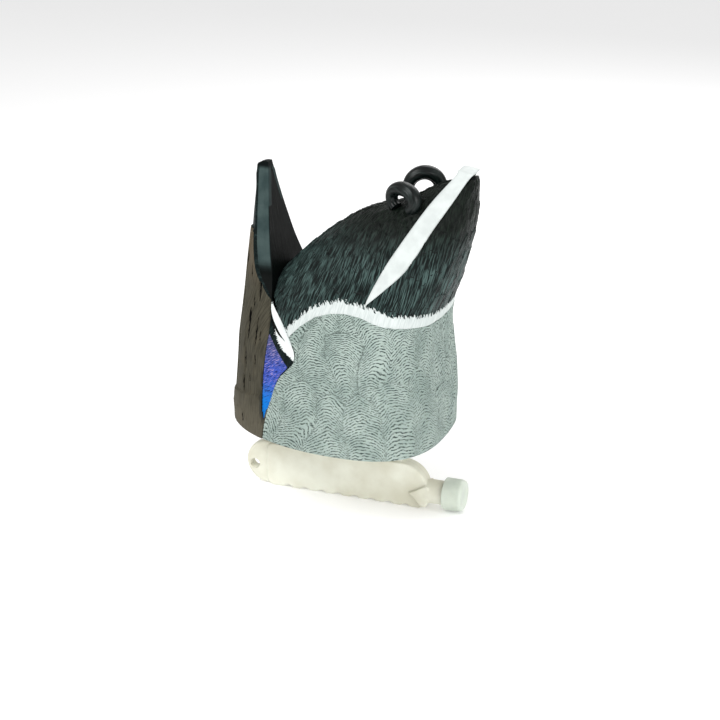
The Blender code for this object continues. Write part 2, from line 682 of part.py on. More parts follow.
def main():
    start_scene()
    holes = make_curls()
    make_body(holes)
    make_wings()
    make_tail()
    make_pan()
    make_gasket()
    make_vent_plug()
    for i, place in enumerate(screw_places()):
        make_screw(f"pan_screw_{i + 1}", place)
    make_keel()
    make_bolts()
    make_cap()


main()
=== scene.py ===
"""Floating duck decoy: its feather relief, paint and plastics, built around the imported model.

Metres, +Z up. The bird stands on its head: +X is its belly side, -X its back, -Y its left side.
"""

import json
import math

import bmesh
import bpy
import numpy as np
from mathutils import Matrix, Vector

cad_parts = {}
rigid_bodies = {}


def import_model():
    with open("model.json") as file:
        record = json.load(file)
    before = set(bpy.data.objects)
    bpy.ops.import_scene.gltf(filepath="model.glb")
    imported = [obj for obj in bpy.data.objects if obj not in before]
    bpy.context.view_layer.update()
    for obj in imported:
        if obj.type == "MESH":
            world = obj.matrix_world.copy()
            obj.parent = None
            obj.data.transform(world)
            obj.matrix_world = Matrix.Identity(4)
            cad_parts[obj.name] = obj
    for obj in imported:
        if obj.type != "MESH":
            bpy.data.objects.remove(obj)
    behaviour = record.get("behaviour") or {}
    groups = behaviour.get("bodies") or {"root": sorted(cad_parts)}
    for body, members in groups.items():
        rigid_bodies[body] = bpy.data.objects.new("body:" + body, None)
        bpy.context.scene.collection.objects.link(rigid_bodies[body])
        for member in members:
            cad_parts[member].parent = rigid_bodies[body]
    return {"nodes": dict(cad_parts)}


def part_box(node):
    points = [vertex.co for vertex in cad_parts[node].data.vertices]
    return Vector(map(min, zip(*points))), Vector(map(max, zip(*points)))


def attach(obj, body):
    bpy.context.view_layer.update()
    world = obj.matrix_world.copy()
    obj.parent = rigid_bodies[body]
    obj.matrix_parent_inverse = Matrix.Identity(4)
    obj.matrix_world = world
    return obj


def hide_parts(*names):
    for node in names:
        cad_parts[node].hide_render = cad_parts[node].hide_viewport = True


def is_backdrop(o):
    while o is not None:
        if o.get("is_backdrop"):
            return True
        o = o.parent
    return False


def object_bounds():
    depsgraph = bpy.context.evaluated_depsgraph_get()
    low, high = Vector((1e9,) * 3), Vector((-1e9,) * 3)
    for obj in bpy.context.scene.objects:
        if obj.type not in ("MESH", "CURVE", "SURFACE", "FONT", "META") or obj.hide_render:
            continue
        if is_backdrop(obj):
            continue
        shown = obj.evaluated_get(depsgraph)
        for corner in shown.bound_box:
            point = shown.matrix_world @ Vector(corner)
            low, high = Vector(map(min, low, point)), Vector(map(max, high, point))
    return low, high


for old in list(bpy.data.objects):
    bpy.data.objects.remove(old)
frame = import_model()
cad_low, cad_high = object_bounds()
scene = bpy.context.scene
nodes = frame["nodes"]

# ================================================================ the table it stands on
# A wide pale floor under a bright room, a large soft lamp high on the bird's back side and two weaker
# ones that open the shadows. The camera looks down on the left side with a long lens.
FLOOR_REACH, FLOOR_GLOW, ROOM_LIGHT = 9.0, 0.16, 0.66
floor_mesh = bpy.data.meshes.new("floor")
corners = [(x * FLOOR_REACH, y * FLOOR_REACH, 0.0) for x, y in ((-1, -1), (1, -1), (1, 1), (-1, 1))]
floor_mesh.from_pydata(corners, [], [(0, 1, 2, 3)])
floor = bpy.data.objects.new("floor", floor_mesh)
scene.collection.objects.link(floor)
floor_paint = bpy.data.materials.new("floor_paint")
floor_paint.use_nodes = True
floor_shader = floor_paint.node_tree.nodes["Principled BSDF"]
floor_shader.inputs["Base Color"].default_value = (0.93, 0.93, 0.93, 1)
floor_shader.inputs["Roughness"].default_value = 0.9
floor_shader.inputs["Emission Color"].default_value = (1.0, 1.0, 1.0, 1)
floor_shader.inputs["Emission Strength"].default_value = FLOOR_GLOW
floor_mesh.materials.append(floor_paint)
floor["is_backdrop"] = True

room = bpy.data.worlds.new("room")
scene.world = room
room.use_nodes = True
room.node_tree.nodes["Background"].inputs["Color"].default_value = (1.0, 1.0, 1.0, 1)
room.node_tree.nodes["Background"].inputs["Strength"].default_value = ROOM_LIGHT
scene.view_settings.view_transform = "Standard"

# name: place, size, watts
LAMPS = {
    "key": ((-0.50, -1.05, 1.45), 0.7, 17.0),
    "fill": ((1.45, -0.85, 0.70), 1.0, 14.0),
    "back": ((0.10, 1.30, 1.20), 1.0, 9.0),
}
middle = (cad_low + cad_high) / 2
for name, (place, size, watts) in LAMPS.items():
    lamp = bpy.data.lights.new(name, "AREA")
    lamp.size = size
    lamp.energy = watts
    holder = bpy.data.objects.new(name, lamp)
    holder.location = place
    holder.rotation_euler = (Vector(place) - middle).to_track_quat("Z", "Y").to_euler()
    scene.collection.objects.link(holder)

LOOK_AT = Vector((0.01055, 0.0, 0.1269))
VIEW_SIDE, VIEW_DOWN, VIEW_DISTANCE = math.radians(20.5), math.radians(21.0), 1.445
toward = Vector((math.sin(VIEW_SIDE) * math.cos(VIEW_DOWN), -math.cos(VIEW_SIDE) * math.cos(VIEW_DOWN),
                 math.sin(VIEW_DOWN)))
camera = bpy.data.objects.new("camera", bpy.data.cameras.new("camera"))
camera.data.lens = 85
camera.data.sensor_width = 36
camera.location = LOOK_AT + toward * VIEW_DISTANCE
camera.rotation_euler = toward.to_track_quat("Z", "Y").to_euler()
scene.collection.objects.link(camera)
scene.camera = camera

# ================================================================ the hollow body
# The real body is blow-moulded in one piece, with the feathers carved into the mould, and its parting
# line runs down the middle of belly and back. It is made here as its left and right half, which meet on
# that line. Grey flanks, a ragged white band and the black rump are painted on.
OVAL_X = 0.018
BELLY_POWER, BACK_POWER = 2.7, 2.0
# back x, back z, belly x, belly z, half width, share of the chord at which it is widest
BODY_ROWS = np.array([
    (-0.1025, 0.0700, 0.0895, 0.0700, 0.0790, 0.625),
    (-0.1020, 0.1000, 0.0900, 0.0980, 0.0800, 0.620),
    (-0.0990, 0.1280, 0.0890, 0.1220, 0.0790, 0.615),
    (-0.0900, 0.1600, 0.0860, 0.1460, 0.0760, 0.615),
    (-0.0745, 0.1850, 0.0850, 0.1670, 0.0710, 0.620),
    (-0.0545, 0.2050, 0.0880, 0.1870, 0.0655, 0.630),
    (-0.0325, 0.2270, 0.0950, 0.2070, 0.0580, 0.620),
    (-0.0070, 0.2475, 0.1012, 0.2280, 0.0480, 0.605),
    (0.0200, 0.2632, 0.1062, 0.2480, 0.0385, 0.600),
    (0.0480, 0.2716, 0.1095, 0.2660, 0.0295, 0.580),
    (0.0750, 0.2858, 0.1103, 0.2820, 0.0210, 0.540),
    (0.0940, 0.2970, 0.1118, 0.2945, 0.0140, 0.500),
])
# The folded wings lie on it: z, back x, half width, x of the side edge, x of the flat inner face, its share
WING_ROWS = np.array([
    (0.0703, -0.1005, 0.0620, -0.0535, -0.0550, 0.00),
    (0.0880, -0.1005, 0.0628, -0.0500, -0.0550, 0.00),
    (0.1100, -0.0985, 0.0658, -0.0430, -0.0550, 0.00),
    (0.1300, -0.0966, 0.0694, -0.0345, -0.0550, 0.00),
    (0.1500, -0.0950, 0.0724, -0.0195, -0.0550, 0.05),
    (0.1700, -0.0927, 0.0618, -0.0309, -0.0520, 0.45),
    (0.1880, -0.0908, 0.0479, -0.0490, -0.0500, 0.90),
    (0.2050, -0.0889, 0.0350, -0.0670, -0.0540, 1.00),
    (0.2250, -0.0865, 0.0265, -0.0735, -0.0585, 1.00),
    (0.2450, -0.0842, 0.0195, -0.0760, -0.0620, 1.00),
    (0.2650, -0.0824, 0.0125, -0.0780, -0.0650, 1.00),
    (0.2850, -0.0810, 0.0065, -0.0790, -0.0675, 1.00),
    (0.2930, -0.0804, 0.0042, -0.0788, -0.0690, 1.00),
])
RINGS = 470
FRONT_COLUMNS, WING_COLUMNS = 145, 45      # of a half ring: belly to the wing's edge, and under the wing
SUNK = 0.0043                              # how deep the body lies under the wings
EDGE_TOP, TOP_SHARE = 0.205, 0.93          # the wing's edge is followed up to here, then stays at this share
RECESS_INSET, RECESS_DEPTH = 0.0058, 0.0080
RIPPLE_PITCH = 0.0027                      # from one painted ripple line of the flank to the next
CROWN_START, CROWN_FADE = 0.93, 0.05       # the relief fades out over these shares of the height
FAR_SHIFT = 0.31                           # moves the right half to another place in the paint's noise

# The white band between flank and rump: x, z of its smooth lower edge and of its ragged upper one
BAND_LOW = np.array([(-0.034, 0.156), (-0.0256, 0.167), (-0.017, 0.176), (-0.004, 0.1855), (0.009, 0.190),
                     (0.022, 0.1916), (0.035, 0.190), (0.048, 0.1855), (0.056, 0.1834), (0.0665, 0.182),
                     (0.0784, 0.180), (0.089, 0.1775)])
BAND_TOP = np.array([(-0.036, 0.165), (-0.0287, 0.172), (-0.020, 0.182), (-0.008, 0.192), (0.0034, 0.197),
                     (0.0167, 0.2007), (0.030, 0.200), (0.0445, 0.197), (0.059, 0.193), (0.0728, 0.1912),
                     (0.089, 0.1865)])


def through_rows(rows, places):
    """Rows at fractional places in a table, on a smooth curve through its rows."""
    i = np.minimum(places.astype(int), len(rows) - 2)
    t = (places - i)[:, None]
    a, b = rows[i], rows[i + 1]
    before, after = rows[np.maximum(i - 1, 0)], rows[np.minimum(i + 2, len(rows) - 1)]
    leaving = (t**3 - 2 * t**2 + t) * (b - before) / 2
    arriving = (t**3 - t**2) * (after - a) / 2
    return (2 * t**3 - 3 * t**2 + 1) * a + leaving + (3 * t**2 - 2 * t**3) * b + arriving


def on_line(line, place):
    """The second column of a table at a place in its first one."""
    return np.interp(place, line[:, 0], line[:, 1])


def wing_rows_at(z):
    places = np.interp(z, WING_ROWS[:, 0], np.arange(len(WING_ROWS)))
    return through_rows(WING_ROWS, places)


def rise(value, width):
    """0 at and below 0, 1 from width on, and smooth between."""
    t = np.clip(value / width, 0, 1)
    return t * t * (3 - 2 * t)


def cloudy(u, v, seed):
    """Smooth noise from -1 to 1 over two arrays, with cells one unit across."""
    table = np.random.default_rng(seed).uniform(-1, 1, (256, 256))
    i, j = np.floor(u).astype(int), np.floor(v).astype(int)
    a, b = rise(u - i, 1), rise(v - j, 1)
    low = table[i % 256, j % 256] * (1 - a) + table[(i + 1) % 256, j % 256] * a
    high = table[i % 256, (j + 1) % 256] * (1 - a) + table[(i + 1) % 256, (j + 1) % 256] * a
    return low * (1 - b) + high * b


def half_rings(rows, samples=900):
    """Slanted half rings from the belly line round the left side to the back line."""
    turn = np.linspace(0, math.pi, samples)
    c, s = np.cos(turn), np.clip(np.sin(turn), 0, 1)
    power = np.where(c >= 0, 2 / BELLY_POWER, 2 / BACK_POWER)
    back, belly = rows[:, None, 0:2], rows[:, None, 2:4]
    widest = back + (belly - back) * rows[:, None, 5:6]
    end = np.where((c >= 0)[None, :, None], belly, back)
    side_view = widest + (end - widest) * (np.abs(c) ** power)[None, :, None]
    y = -rows[:, 4:5] * (s**power)[None, :]
    return np.stack([side_view[..., 0], y, side_view[..., 1]], -1)


def at_shares(ring, shares):
    """Points at shares of a ring's length, and how far along it they lie."""
    run = np.concatenate([[0], np.cumsum(np.linalg.norm(np.diff(ring, axis=0), axis=1))])
    reach = shares * run[-1]
    return np.stack([np.interp(reach, run, ring[:, k]) for k in range(3)], -1), reach


def shingled(across, along, width, length, arch, ragged, seed):
    """Feathers laid like shingles, tips up: how far each point lies below the tip edge of the feather
    that shows there, and where it lies between that feather's sides, from -1 to 1."""
    below = np.full(across.shape, np.nan)
    side = np.zeros(across.shape)
    luck = np.random.default_rng(seed).random(997)
    for row in range(1, int(along.max() / length) + 4):
        place = across / width + 0.5 * (row % 2)
        column = np.floor(place)
        off = (place - column - 0.5) * 2
        chance = luck[(column.astype(int) * 31 + row * 17) % 997]
        edge = (row + 0.45 * (chance - 0.5)) * length - arch * np.abs(off) ** 1.8 + ragged
        shows = np.isnan(below) & (along < edge)
        below[shows] = (edge - along)[shows]
        side[shows] = off[shows]
    return np.nan_to_num(below, nan=length), side


def outward(points):
    """Unit normals of a grid of points, away from the body's middle."""
    normal = np.cross(np.gradient(points, axis=1), np.gradient(points, axis=0))
    normal /= np.maximum(np.linalg.norm(normal, axis=2, keepdims=True), 1e-12)
    centre = points.mean(axis=1, keepdims=True)
    flip = np.sign(np.sum(normal * (points - centre), axis=2)).mean()
    return normal * (1 if flip >= 0 else -1)


def smoothed(mesh, sharp):
    """Smooth shading, apart from edges sharper than that many degrees."""
    mesh.shade_smooth()
    mesh.set_sharp_from_angle(angle=math.radians(sharp))


def grid_faces(rows, columns, closed=False):
    index = np.arange(rows * columns).reshape(rows, columns)
    if closed:
        index = np.concatenate([index, index[:, :1]], axis=1)
    quads = np.stack([index[:-1, :-1], index[:-1, 1:], index[1:, 1:], index[1:, :-1]], -1)
    return quads.reshape(-1, 4).tolist()


def tube_faces(rows, columns):
    """A closed tube's faces: its sides, then its first and its last end."""
    last = (rows - 1) * columns
    ends = [list(range(columns)), list(range(last, last + columns))]
    return grid_faces(rows, columns, closed=True) + ends


def crown_rings(last, centre, steps, shrink, raised):
    """Rings that round off the last one in a quarter circle, while they shrink and rise."""
    return [centre + (last - centre) * (1 - shrink * (1 - math.cos(turn))) + np.array(raised) * math.sin(turn)
            for turn in np.linspace(0, math.pi / 2, steps)[1:]]


def stretched(array, below, above):
    """The array with its first and last rows repeated, for a rim below and a crown above."""
    return np.concatenate([np.repeat(array[:1], below, 0), array, np.repeat(array[-1:], above, 0)])


def closed_piece(name, points, faces, values, paint, sharp=50):
    """A named object from points and faces, with one float attribute for each entry in values."""
    mesh = bpy.data.meshes.new(name)
    mesh.from_pydata(points.reshape(-1, 3).tolist(), [], faces)
    for key, array in values.items():
        layer = mesh.attributes.new(key, "FLOAT", "POINT")
        layer.data.foreach_set("value", np.ascontiguousarray(array, dtype=np.float32).ravel())
    bm = bmesh.new()
    bm.from_mesh(mesh)
    bmesh.ops.recalc_face_normals(bm, faces=bm.faces)
    bm.to_mesh(mesh)
    bm.free()
    smoothed(mesh, sharp)
    mesh.materials.append(paint)
    piece = bpy.data.objects.new(name, mesh)
    scene.collection.objects.link(piece)
    return piece


def srgb(red, green, blue):
    """A colour from its 0-255 values, as the shaders want it."""
    return tuple(((c / 255 + 0.055) / 1.055) ** 2.4 if c > 10 else c / 255 / 12.92
                 for c in (red, green, blue)) + (1.0,)


def new_paint(name, roughness=0.5, specular=0.5):
    """A material with its node tree and its Principled shader."""
    made = bpy.data.materials.new(name)
    made.use_nodes = True
    shader = made.node_tree.nodes["Principled BSDF"]
    shader.inputs["Roughness"].default_value = roughness
    shader.inputs["Specular IOR Level"].default_value = specular
    return made, made.node_tree, shader


class Value:
    """A node's output. Arithmetic on it adds Math nodes to its tree."""

    def __init__(self, socket):
        self.socket = socket

    def math(self, operation, a, b=0.0, c=0.0):
        made = put(self.socket.id_data, "ShaderNodeMath", {"operation": operation}, _0=a, _1=b, _2=c)
        return Value(made.outputs[0])

    def __add__(self, other):
        return self.math("ADD", self, other)

    def __sub__(self, other):
        return self.math("SUBTRACT", self, other)

    def __rsub__(self, other):
        return self.math("SUBTRACT", other, self)

    def __mul__(self, other):
        return self.math("MULTIPLY", self, other)

    def __truediv__(self, other):
        return self.math("DIVIDE", self, other)

    def through(self, operation):
        return self.math(operation, self)

    def scaled(self, factor, plus):
        return self.math("MULTIPLY_ADD", self, factor, plus)

    def eased(self, low, high, to_low=0.0, to_high=1.0):
        """The value eased from low..high to to_low..to_high, and held beyond them."""
        made = put(self.socket.id_data, "ShaderNodeMapRange", {"interpolation_type": "SMOOTHSTEP"},
                   Value=self, From_Min=low, From_Max=high, To_Min=to_low, To_Max=to_high)
        return Value(made.outputs[0])


def put(tree, kind, settings=None, **sockets):
    """Adds a node. A socket gets a link if it is given another node's output, or else the bare value."""
    made = tree.nodes.new(kind)
    for key, value in (settings or {}).items():
        setattr(made, key, value)
    for key, value in sockets.items():
        socket = made.inputs[int(key[1:])] if key[0] == "_" else made.inputs[key.replace("_", " ")]
        value = value.socket if isinstance(value, Value) else value
        if isinstance(value, bpy.types.NodeSocket):
            tree.links.new(value, socket)
        else:
            socket.default_value = value
    return made


def blended(share, a, b):
    """A colour between a and b."""
    made = put(share.socket.id_data, "ShaderNodeMix", {"data_type": "RGBA"}, _0=share, _6=a, _7=b)
    return Value(made.outputs[2])


def either(share, a, b):
    """A number between a and b."""
    return Value(put(share.socket.id_data, "ShaderNodeMix", None, _0=share, _2=a, _3=b).outputs[0])


def carried(tree, name):
    """A float attribute that the mesh carries."""
    return Value(put(tree, "ShaderNodeAttribute", {"attribute_name": name}).outputs["Fac"])


def own_place(tree):
    """Where a point lies in the object's own coordinates."""
    return Value(put(tree, "ShaderNodeTexCoord").outputs["Object"])


def own_axis(tree, axis):
    return Value(put(tree, "ShaderNodeSeparateXYZ", None, Vector=own_place(tree)).outputs[axis])


def cloud(tree, scale, detail=2.0, vector=None):
    """Noise on the object's own coordinates, or on the vector."""
    made = put(tree, "ShaderNodeTexNoise", None, Vector=vector or own_place(tree), Scale=scale, Detail=detail)
    return Value(made.outputs["Fac"])


def new_group(name, inputs, outputs):
    """A shader node group of float sockets, with its inputs by name and its output node."""
    group = bpy.data.node_groups.new(name, "ShaderNodeTree")
    for key, value in inputs.items():
        made = group.interface.new_socket(key, in_out="INPUT", socket_type="NodeSocketFloat")
        made.default_value = value
    for key in outputs:
        group.interface.new_socket(key, in_out="OUTPUT", socket_type="NodeSocketFloat")
    given = group.nodes.new("NodeGroupInput").outputs
    return group, {key: Value(given[key]) for key in inputs}, group.nodes.new("NodeGroupOutput")


def dress(shader, colour, roughness, relief, strength, distance):
    """Links what varies over a surface to its shader: its colour, its roughness and its relief."""
    tree = shader.id_data
    bump = put(tree, "ShaderNodeBump", None, Strength=strength, Distance=distance, Height=relief)
    tree.links.new(colour.socket, shader.inputs["Base Color"])
    tree.links.new(roughness.socket, shader.inputs["Roughness"])
    tree.links.new(bump.outputs["Normal"], shader.inputs["Normal"])


# Brush and graver strokes that run along the feathers: long in one direction, fine in the other.
strokes_group, given, strokes_out = new_group(
    "feather_strokes", {"Across": 0.0, "Along": 0.0, "Width": 0.001, "Length": 0.01, "Lean": 0.0},
    ("Strokes",))
leaned = given["Along"].scaled(given["Lean"], given["Across"])
stroke_place = put(strokes_group, "ShaderNodeCombineXYZ", None, X=leaned / given["Width"],
                   Y=given["Along"] / given["Length"])
stroke_noise = put(strokes_group, "ShaderNodeTexNoise", None, Vector=stroke_place.outputs[0], Scale=1.0,
                   Detail=2.0, Roughness=0.6)
strokes_group.links.new(stroke_noise.outputs["Fac"], strokes_out.inputs["Strokes"])


def strokes(tree, width, length, lean=0.0):
    """The feather strokes over the across and along attributes, from 0 to 1."""
    made = put(tree, "ShaderNodeGroup", {"node_tree": strokes_group}, Across=carried(tree, "across"),
               Along=carried(tree, "along"), Width=width, Length=length, Lean=lean)
    return Value(made.outputs["Strokes"])


body_paint, tree, shader = new_paint("feather_paint", specular=0.11)
mottle = cloud(tree, 55.0, 4.0)
speckle = cloud(tree, 900.0, 2.0)
# flank: grey-green with dark rippled lines that follow each feather's round tip
wander = (strokes(tree, 0.0028, 0.0045) - 0.5) * 0.0034
phase = (carried(tree, "ripple") + wander) / RIPPLE_PITCH
wave = (phase * (2 * math.pi)).through("SINE")
lines = wave.eased(0.34, 0.84) * strokes(tree, 0.0032, 0.0014).eased(0.42, 0.55)
grey = blended(mottle.eased(0.3, 0.7), srgb(140, 156, 149), srgb(160, 174, 167))
grey = blended(lines, grey, srgb(48, 61, 59))
# pale specks on the crests of the ripple ridges: a painted highlight, partly worn paint
ridge_glint_and_wear = speckle.eased(0.66, 0.78) * wave.eased(-0.2, -0.9)
grey = blended(ridge_glint_and_wear * 0.55, grey, srgb(214, 222, 218))
# rump: green-black, with painted highlights along its barbs: slate strokes low down, where a painted sheen
# lightens the black, and darker olive ones near the curls
fine = strokes(tree, 0.0012, 0.0170, 0.15)
broad = strokes(tree, 0.0100, 0.0260, 0.15)
lit = fine.eased(0.44, 0.60) * broad.eased(0.32, 0.62, 0.40, 0.95)
above_sheen = own_axis(tree, "Z").eased(0.222, 0.262)
barb_highlight = blended(above_sheen, srgb(70, 90, 87), srgb(24, 33, 26))
black = blended(lit, blended(above_sheen, srgb(7, 16, 15), srgb(2, 7, 4)), barb_highlight)
# painted shade: the step just under each feather's tip edge is darkened
crease_shade = carried(tree, "shed").eased(0.0016, 0.0006) * cloud(tree, 34.0, 1.0).eased(0.40, 0.48)
black = blended(crease_shade, black, srgb(4, 7, 7))
# the band: smooth below, and above it the brush has pulled teeth up between the barbs
teeth = strokes(tree, 0.0017, 0.0090, -0.35).eased(0.36, 0.64, -0.0016, 0.0024)
over_band = (carried(tree, "band_top") - teeth).eased(-0.00012, 0.00012)
in_band = mottle.scaled(0.0010, carried(tree, "band_low")).eased(0.0003, 0.0007)
white = blended(fine.eased(0.35, 0.65), srgb(186, 194, 192), srgb(203, 209, 207))
coat = blended(over_band, blended(in_band, grey, white), black)
dull, satin = mottle.scaled(0.20, 0.52), mottle.scaled(0.16, 0.34)
flank_height = lines.scaled(-0.9, speckle * 0.35) * (1.0 - in_band)
rump_height = fine.scaled(1.3, broad * 0.9)
dress(shader, coat, either(over_band, dull, satin), either(over_band, flank_height, rump_height),
      1.0, 0.0008)


def body_grid():
    """The left half's rings, with a pair of columns on the edge of the wing, and how far round its ring
    each point lies."""
    rows = through_rows(BODY_ROWS, np.linspace(0.06, len(BODY_ROWS) - 1, RINGS))
    points, reach = [], []
    for ring in half_rings(rows):
        past = ring[:, 0] < wing_rows_at(ring[:, 2])[:, 3]
        run = np.concatenate([[0], np.cumsum(np.linalg.norm(np.diff(ring, axis=0), axis=1))])
        low_enough = past & (ring[:, 2] < EDGE_TOP)
        edge = run[np.argmax(low_enough)] / run[-1] if low_enough.any() else TOP_SHARE
        edge = min(edge, TOP_SHARE)
        shares = np.concatenate([np.linspace(0, edge, FRONT_COLUMNS),
                                 np.linspace(edge + 0.0005 / run[-1], 1, WING_COLUMNS)])
        place, length = at_shares(ring, shares)
        points.append(place)
        reach.append(length)
    return np.array(points), np.array(reach)


skin, around = body_grid()
upward = np.concatenate([np.zeros((1, skin.shape[1])),
                         np.cumsum(np.linalg.norm(np.diff(skin, axis=0), axis=2), axis=0)])
facing = outward(skin)
facing[:, (0, -1), 1] = 0
facing /= np.linalg.norm(facing, axis=2, keepdims=True)
x, z = skin[..., 0], skin[..., 2]
band_low, band_top = z - on_line(BAND_LOW, x), z - on_line(BAND_TOP, x)
wing_edge = wing_rows_at(z.ravel())[:, 3].reshape(z.shape)
under_wing = rise(wing_edge - x, 0.0004) * (1 - rise(z - 0.186, 0.016))
# how far each point lies from the middle of the tail's stripe, which is a line in the side view
STRIPE_MIDDLE = np.array([(0.0395, 0.2015), (0.0590, 0.2292), (0.0775, 0.2610), (0.0903, 0.2815),
                          (0.1040, 0.3015)])
stripe_off = np.abs(x - on_line(STRIPE_MIDDLE[:, ::-1], z))
stripe_off += 0.5 * np.maximum(STRIPE_MIDDLE[0, 1] - z, 0)


def body_half(name, side):
    """One half of the body. The relief differs a little from side to side, as carving does."""
    seed = 11 if side < 0 else 47
    widest = np.array([np.interp(0.012, x[i][::-1], around[i][::-1]) for i in range(RINGS)])[:, None]
    spread = 0.75 + 0.45 * np.clip((0.20 - z) / 0.12, 0, 1)
    flank_across = (around - widest) / spread
    wobble = cloudy(around / 0.030, upward / 0.034, seed) * 0.0080
    sway = cloudy(around / 0.024, upward / 0.040, seed + 10) * 0.0070
    below, side_share = shingled(flank_across + wobble, upward + sway, 0.027, 0.066, 0.0090,
                                 cloudy(around / 0.006, upward / 0.05, seed + 1) * 0.0012, seed + 2)
    ripple = below + cloudy(around / 0.0040, upward / 0.012, seed + 3) * 0.0010
    lift = 0.00032 * np.exp(-below / 0.0045) - 0.00036 * np.exp(-np.abs(np.abs(side_share) - 1) * 18)
    lift -= 0.00028 * rise(np.sin(2 * math.pi * ripple / RIPPLE_PITCH) - 0.1, 0.9)
    lift += cloudy(around / 0.011, upward / 0.014, seed + 4) * 0.00035
    # the flank stands up along the wing's edge
    to_wing = x - wing_edge
    lift += 0.0009 * np.exp(-np.abs(to_wing) / 0.006) * rise(to_wing + 0.0002, 0.0012) * (z < 0.152)

    teeth_run = around / 0.0030 + 0.6 * cloudy(around / 0.004, upward / 0.01, seed + 5)
    jagged = np.abs(teeth_run % 2 - 1) * 0.0028
    rump_below, rump_side = shingled(around + cloudy(around / 0.012, upward / 0.012, seed + 6) * 0.0025,
                                     upward, 0.021, 0.0235, 0.011, jagged, seed + 7)
    barbs = cloudy((around + 0.15 * upward) / 0.0016, upward / 0.0080, seed + 8)
    barbs += 0.8 * cloudy((around - 0.10 * upward) / 0.0026, upward / 0.0160, seed + 9)
    rump_lift = 0.00080 * np.exp(-rump_below / 0.0060) + 0.00036 * barbs
    rump_lift -= 0.00030 * np.exp(-rump_below / 0.0006)
    rump_lift -= 0.00025 * np.exp(-np.abs(rump_side) * 16) * rise(rump_below, 0.004)
    on_rump = rise(band_top + 0.0006, 0.0012)
    in_band_share = rise(band_low, 0.0008) * (1 - on_rump)
    total = lift * (1 - on_rump) * (1 - 0.85 * in_band_share) + rump_lift * on_rump
    total *= 1 - rise(upward / upward.max() - CROWN_START, CROWN_FADE)
    total -= 0.0016 * rise(z - 0.288, 0.008) * on_rump
    total -= (0.0012 + 0.0018 * rise(z - 0.258, 0.024)) * np.exp(-((stripe_off / 0.011) ** 2)) * on_rump
    total -= 0.0006 * np.exp(-np.abs(band_low) / 0.0006) * (1 - under_wing)
    total = total * (1 - under_wing) - SUNK * under_wing
    total[:, (0, -1)] = total[:, (1, -2)]
    outer = skin + facing * total[..., None]
    outer[:, (0, -1), 1] = 0
    outer[:, 1:-1, 1] = np.minimum(outer[:, 1:-1, 1], -0.00002)

    # rim: round edge, flat foot and the recess for the pan
    flat_facing = facing[0] * (1, 1, 0)
    flat_facing /= np.linalg.norm(flat_facing, axis=1, keepdims=True)
    first = skin[0]
    rim = []
    for inset, level in ((RECESS_INSET, RECESS_DEPTH), (RECESS_INSET, 0.0003), (RECESS_INSET - 0.0003, 0.0),
                         (0.0012, 0.0), (0.0005, 0.00025), (0.00012, 0.0008)):
        sunk = np.maximum(inset, np.minimum(SUNK, RECESS_INSET - 0.0006) * under_wing[0] + inset * 0.2)
        ring = first - flat_facing * np.minimum(sunk, RECESS_INSET)[:, None]
        ring[:, 2] = cad_rim + level
        rim.append(ring)
    # crown: the last ring rounded off towards the tail's tip
    crown = crown_rings(outer[-1], outer[-1].mean(axis=0) * (1, 0, 1), 9, 1, (0.0034, 0, 0.0004))[:-1]
    grid = np.concatenate([np.array(rim), outer, np.array(crown)])
    grid[:, (0, -1), 1] = 0
    faces = grid_faces(*grid.shape[:2])
    index = np.arange(grid.shape[0] * grid.shape[1]).reshape(grid.shape[:2])
    faces.append(index[0].tolist())
    faces.append(index[-1].tolist())
    faces.append(index[:, 0].tolist() + index[::-1, -1].tolist())
    grid = grid * (1, -side, 1)
    values = {"across": around + (0 if side < 0 else FAR_SHIFT), "along": upward, "ripple": ripple,
              "band_low": band_low, "band_top": band_top, "shed": rump_below}
    values = {key: stretched(array, len(rim), len(crown)) for key, array in values.items()}
    piece = closed_piece(name, grid, faces, values, body_paint, 55)
    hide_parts("body_shell")
    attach(piece, "decoy")


cad_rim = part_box("body_shell")[0].z
body_half("body_left", -1)
body_half("body_right", 1)

# ================================================================ the folded wings
# One moulding clipped over the back: brown tertials on the outside with cut slits, a sunk panel with
# the blue speculum, a white bar along its upper edge, and the black wing tips that stand up as a blade.
# z, x of the line where the brown ends
TERTIAL_EDGE = np.array([(0.070, -0.0490), (0.084, -0.0525), (0.095, -0.0555), (0.114, -0.0544),
                         (0.132, -0.0526), (0.150, -0.0500), (0.163, -0.0485), (0.177, -0.0483),
                         (0.187, -0.0495), (0.195, -0.0550), (0.207, -0.0645), (0.219, -0.0710),
                         (0.231, -0.0730), (0.242, -0.0760), (0.262, -0.0785), (0.293, -0.0795)])
# z, x of the white bar's inner edge, and z of its two ends
BAR_INNER = np.array([(0.1470, -0.0218), (0.1504, -0.0252), (0.1534, -0.0318), (0.1600, -0.0386),
                      (0.1716, -0.0448), (0.1830, -0.0478), (0.1860, -0.0480)])
BAR_LOW, BAR_HIGH = 0.1478, 0.1868
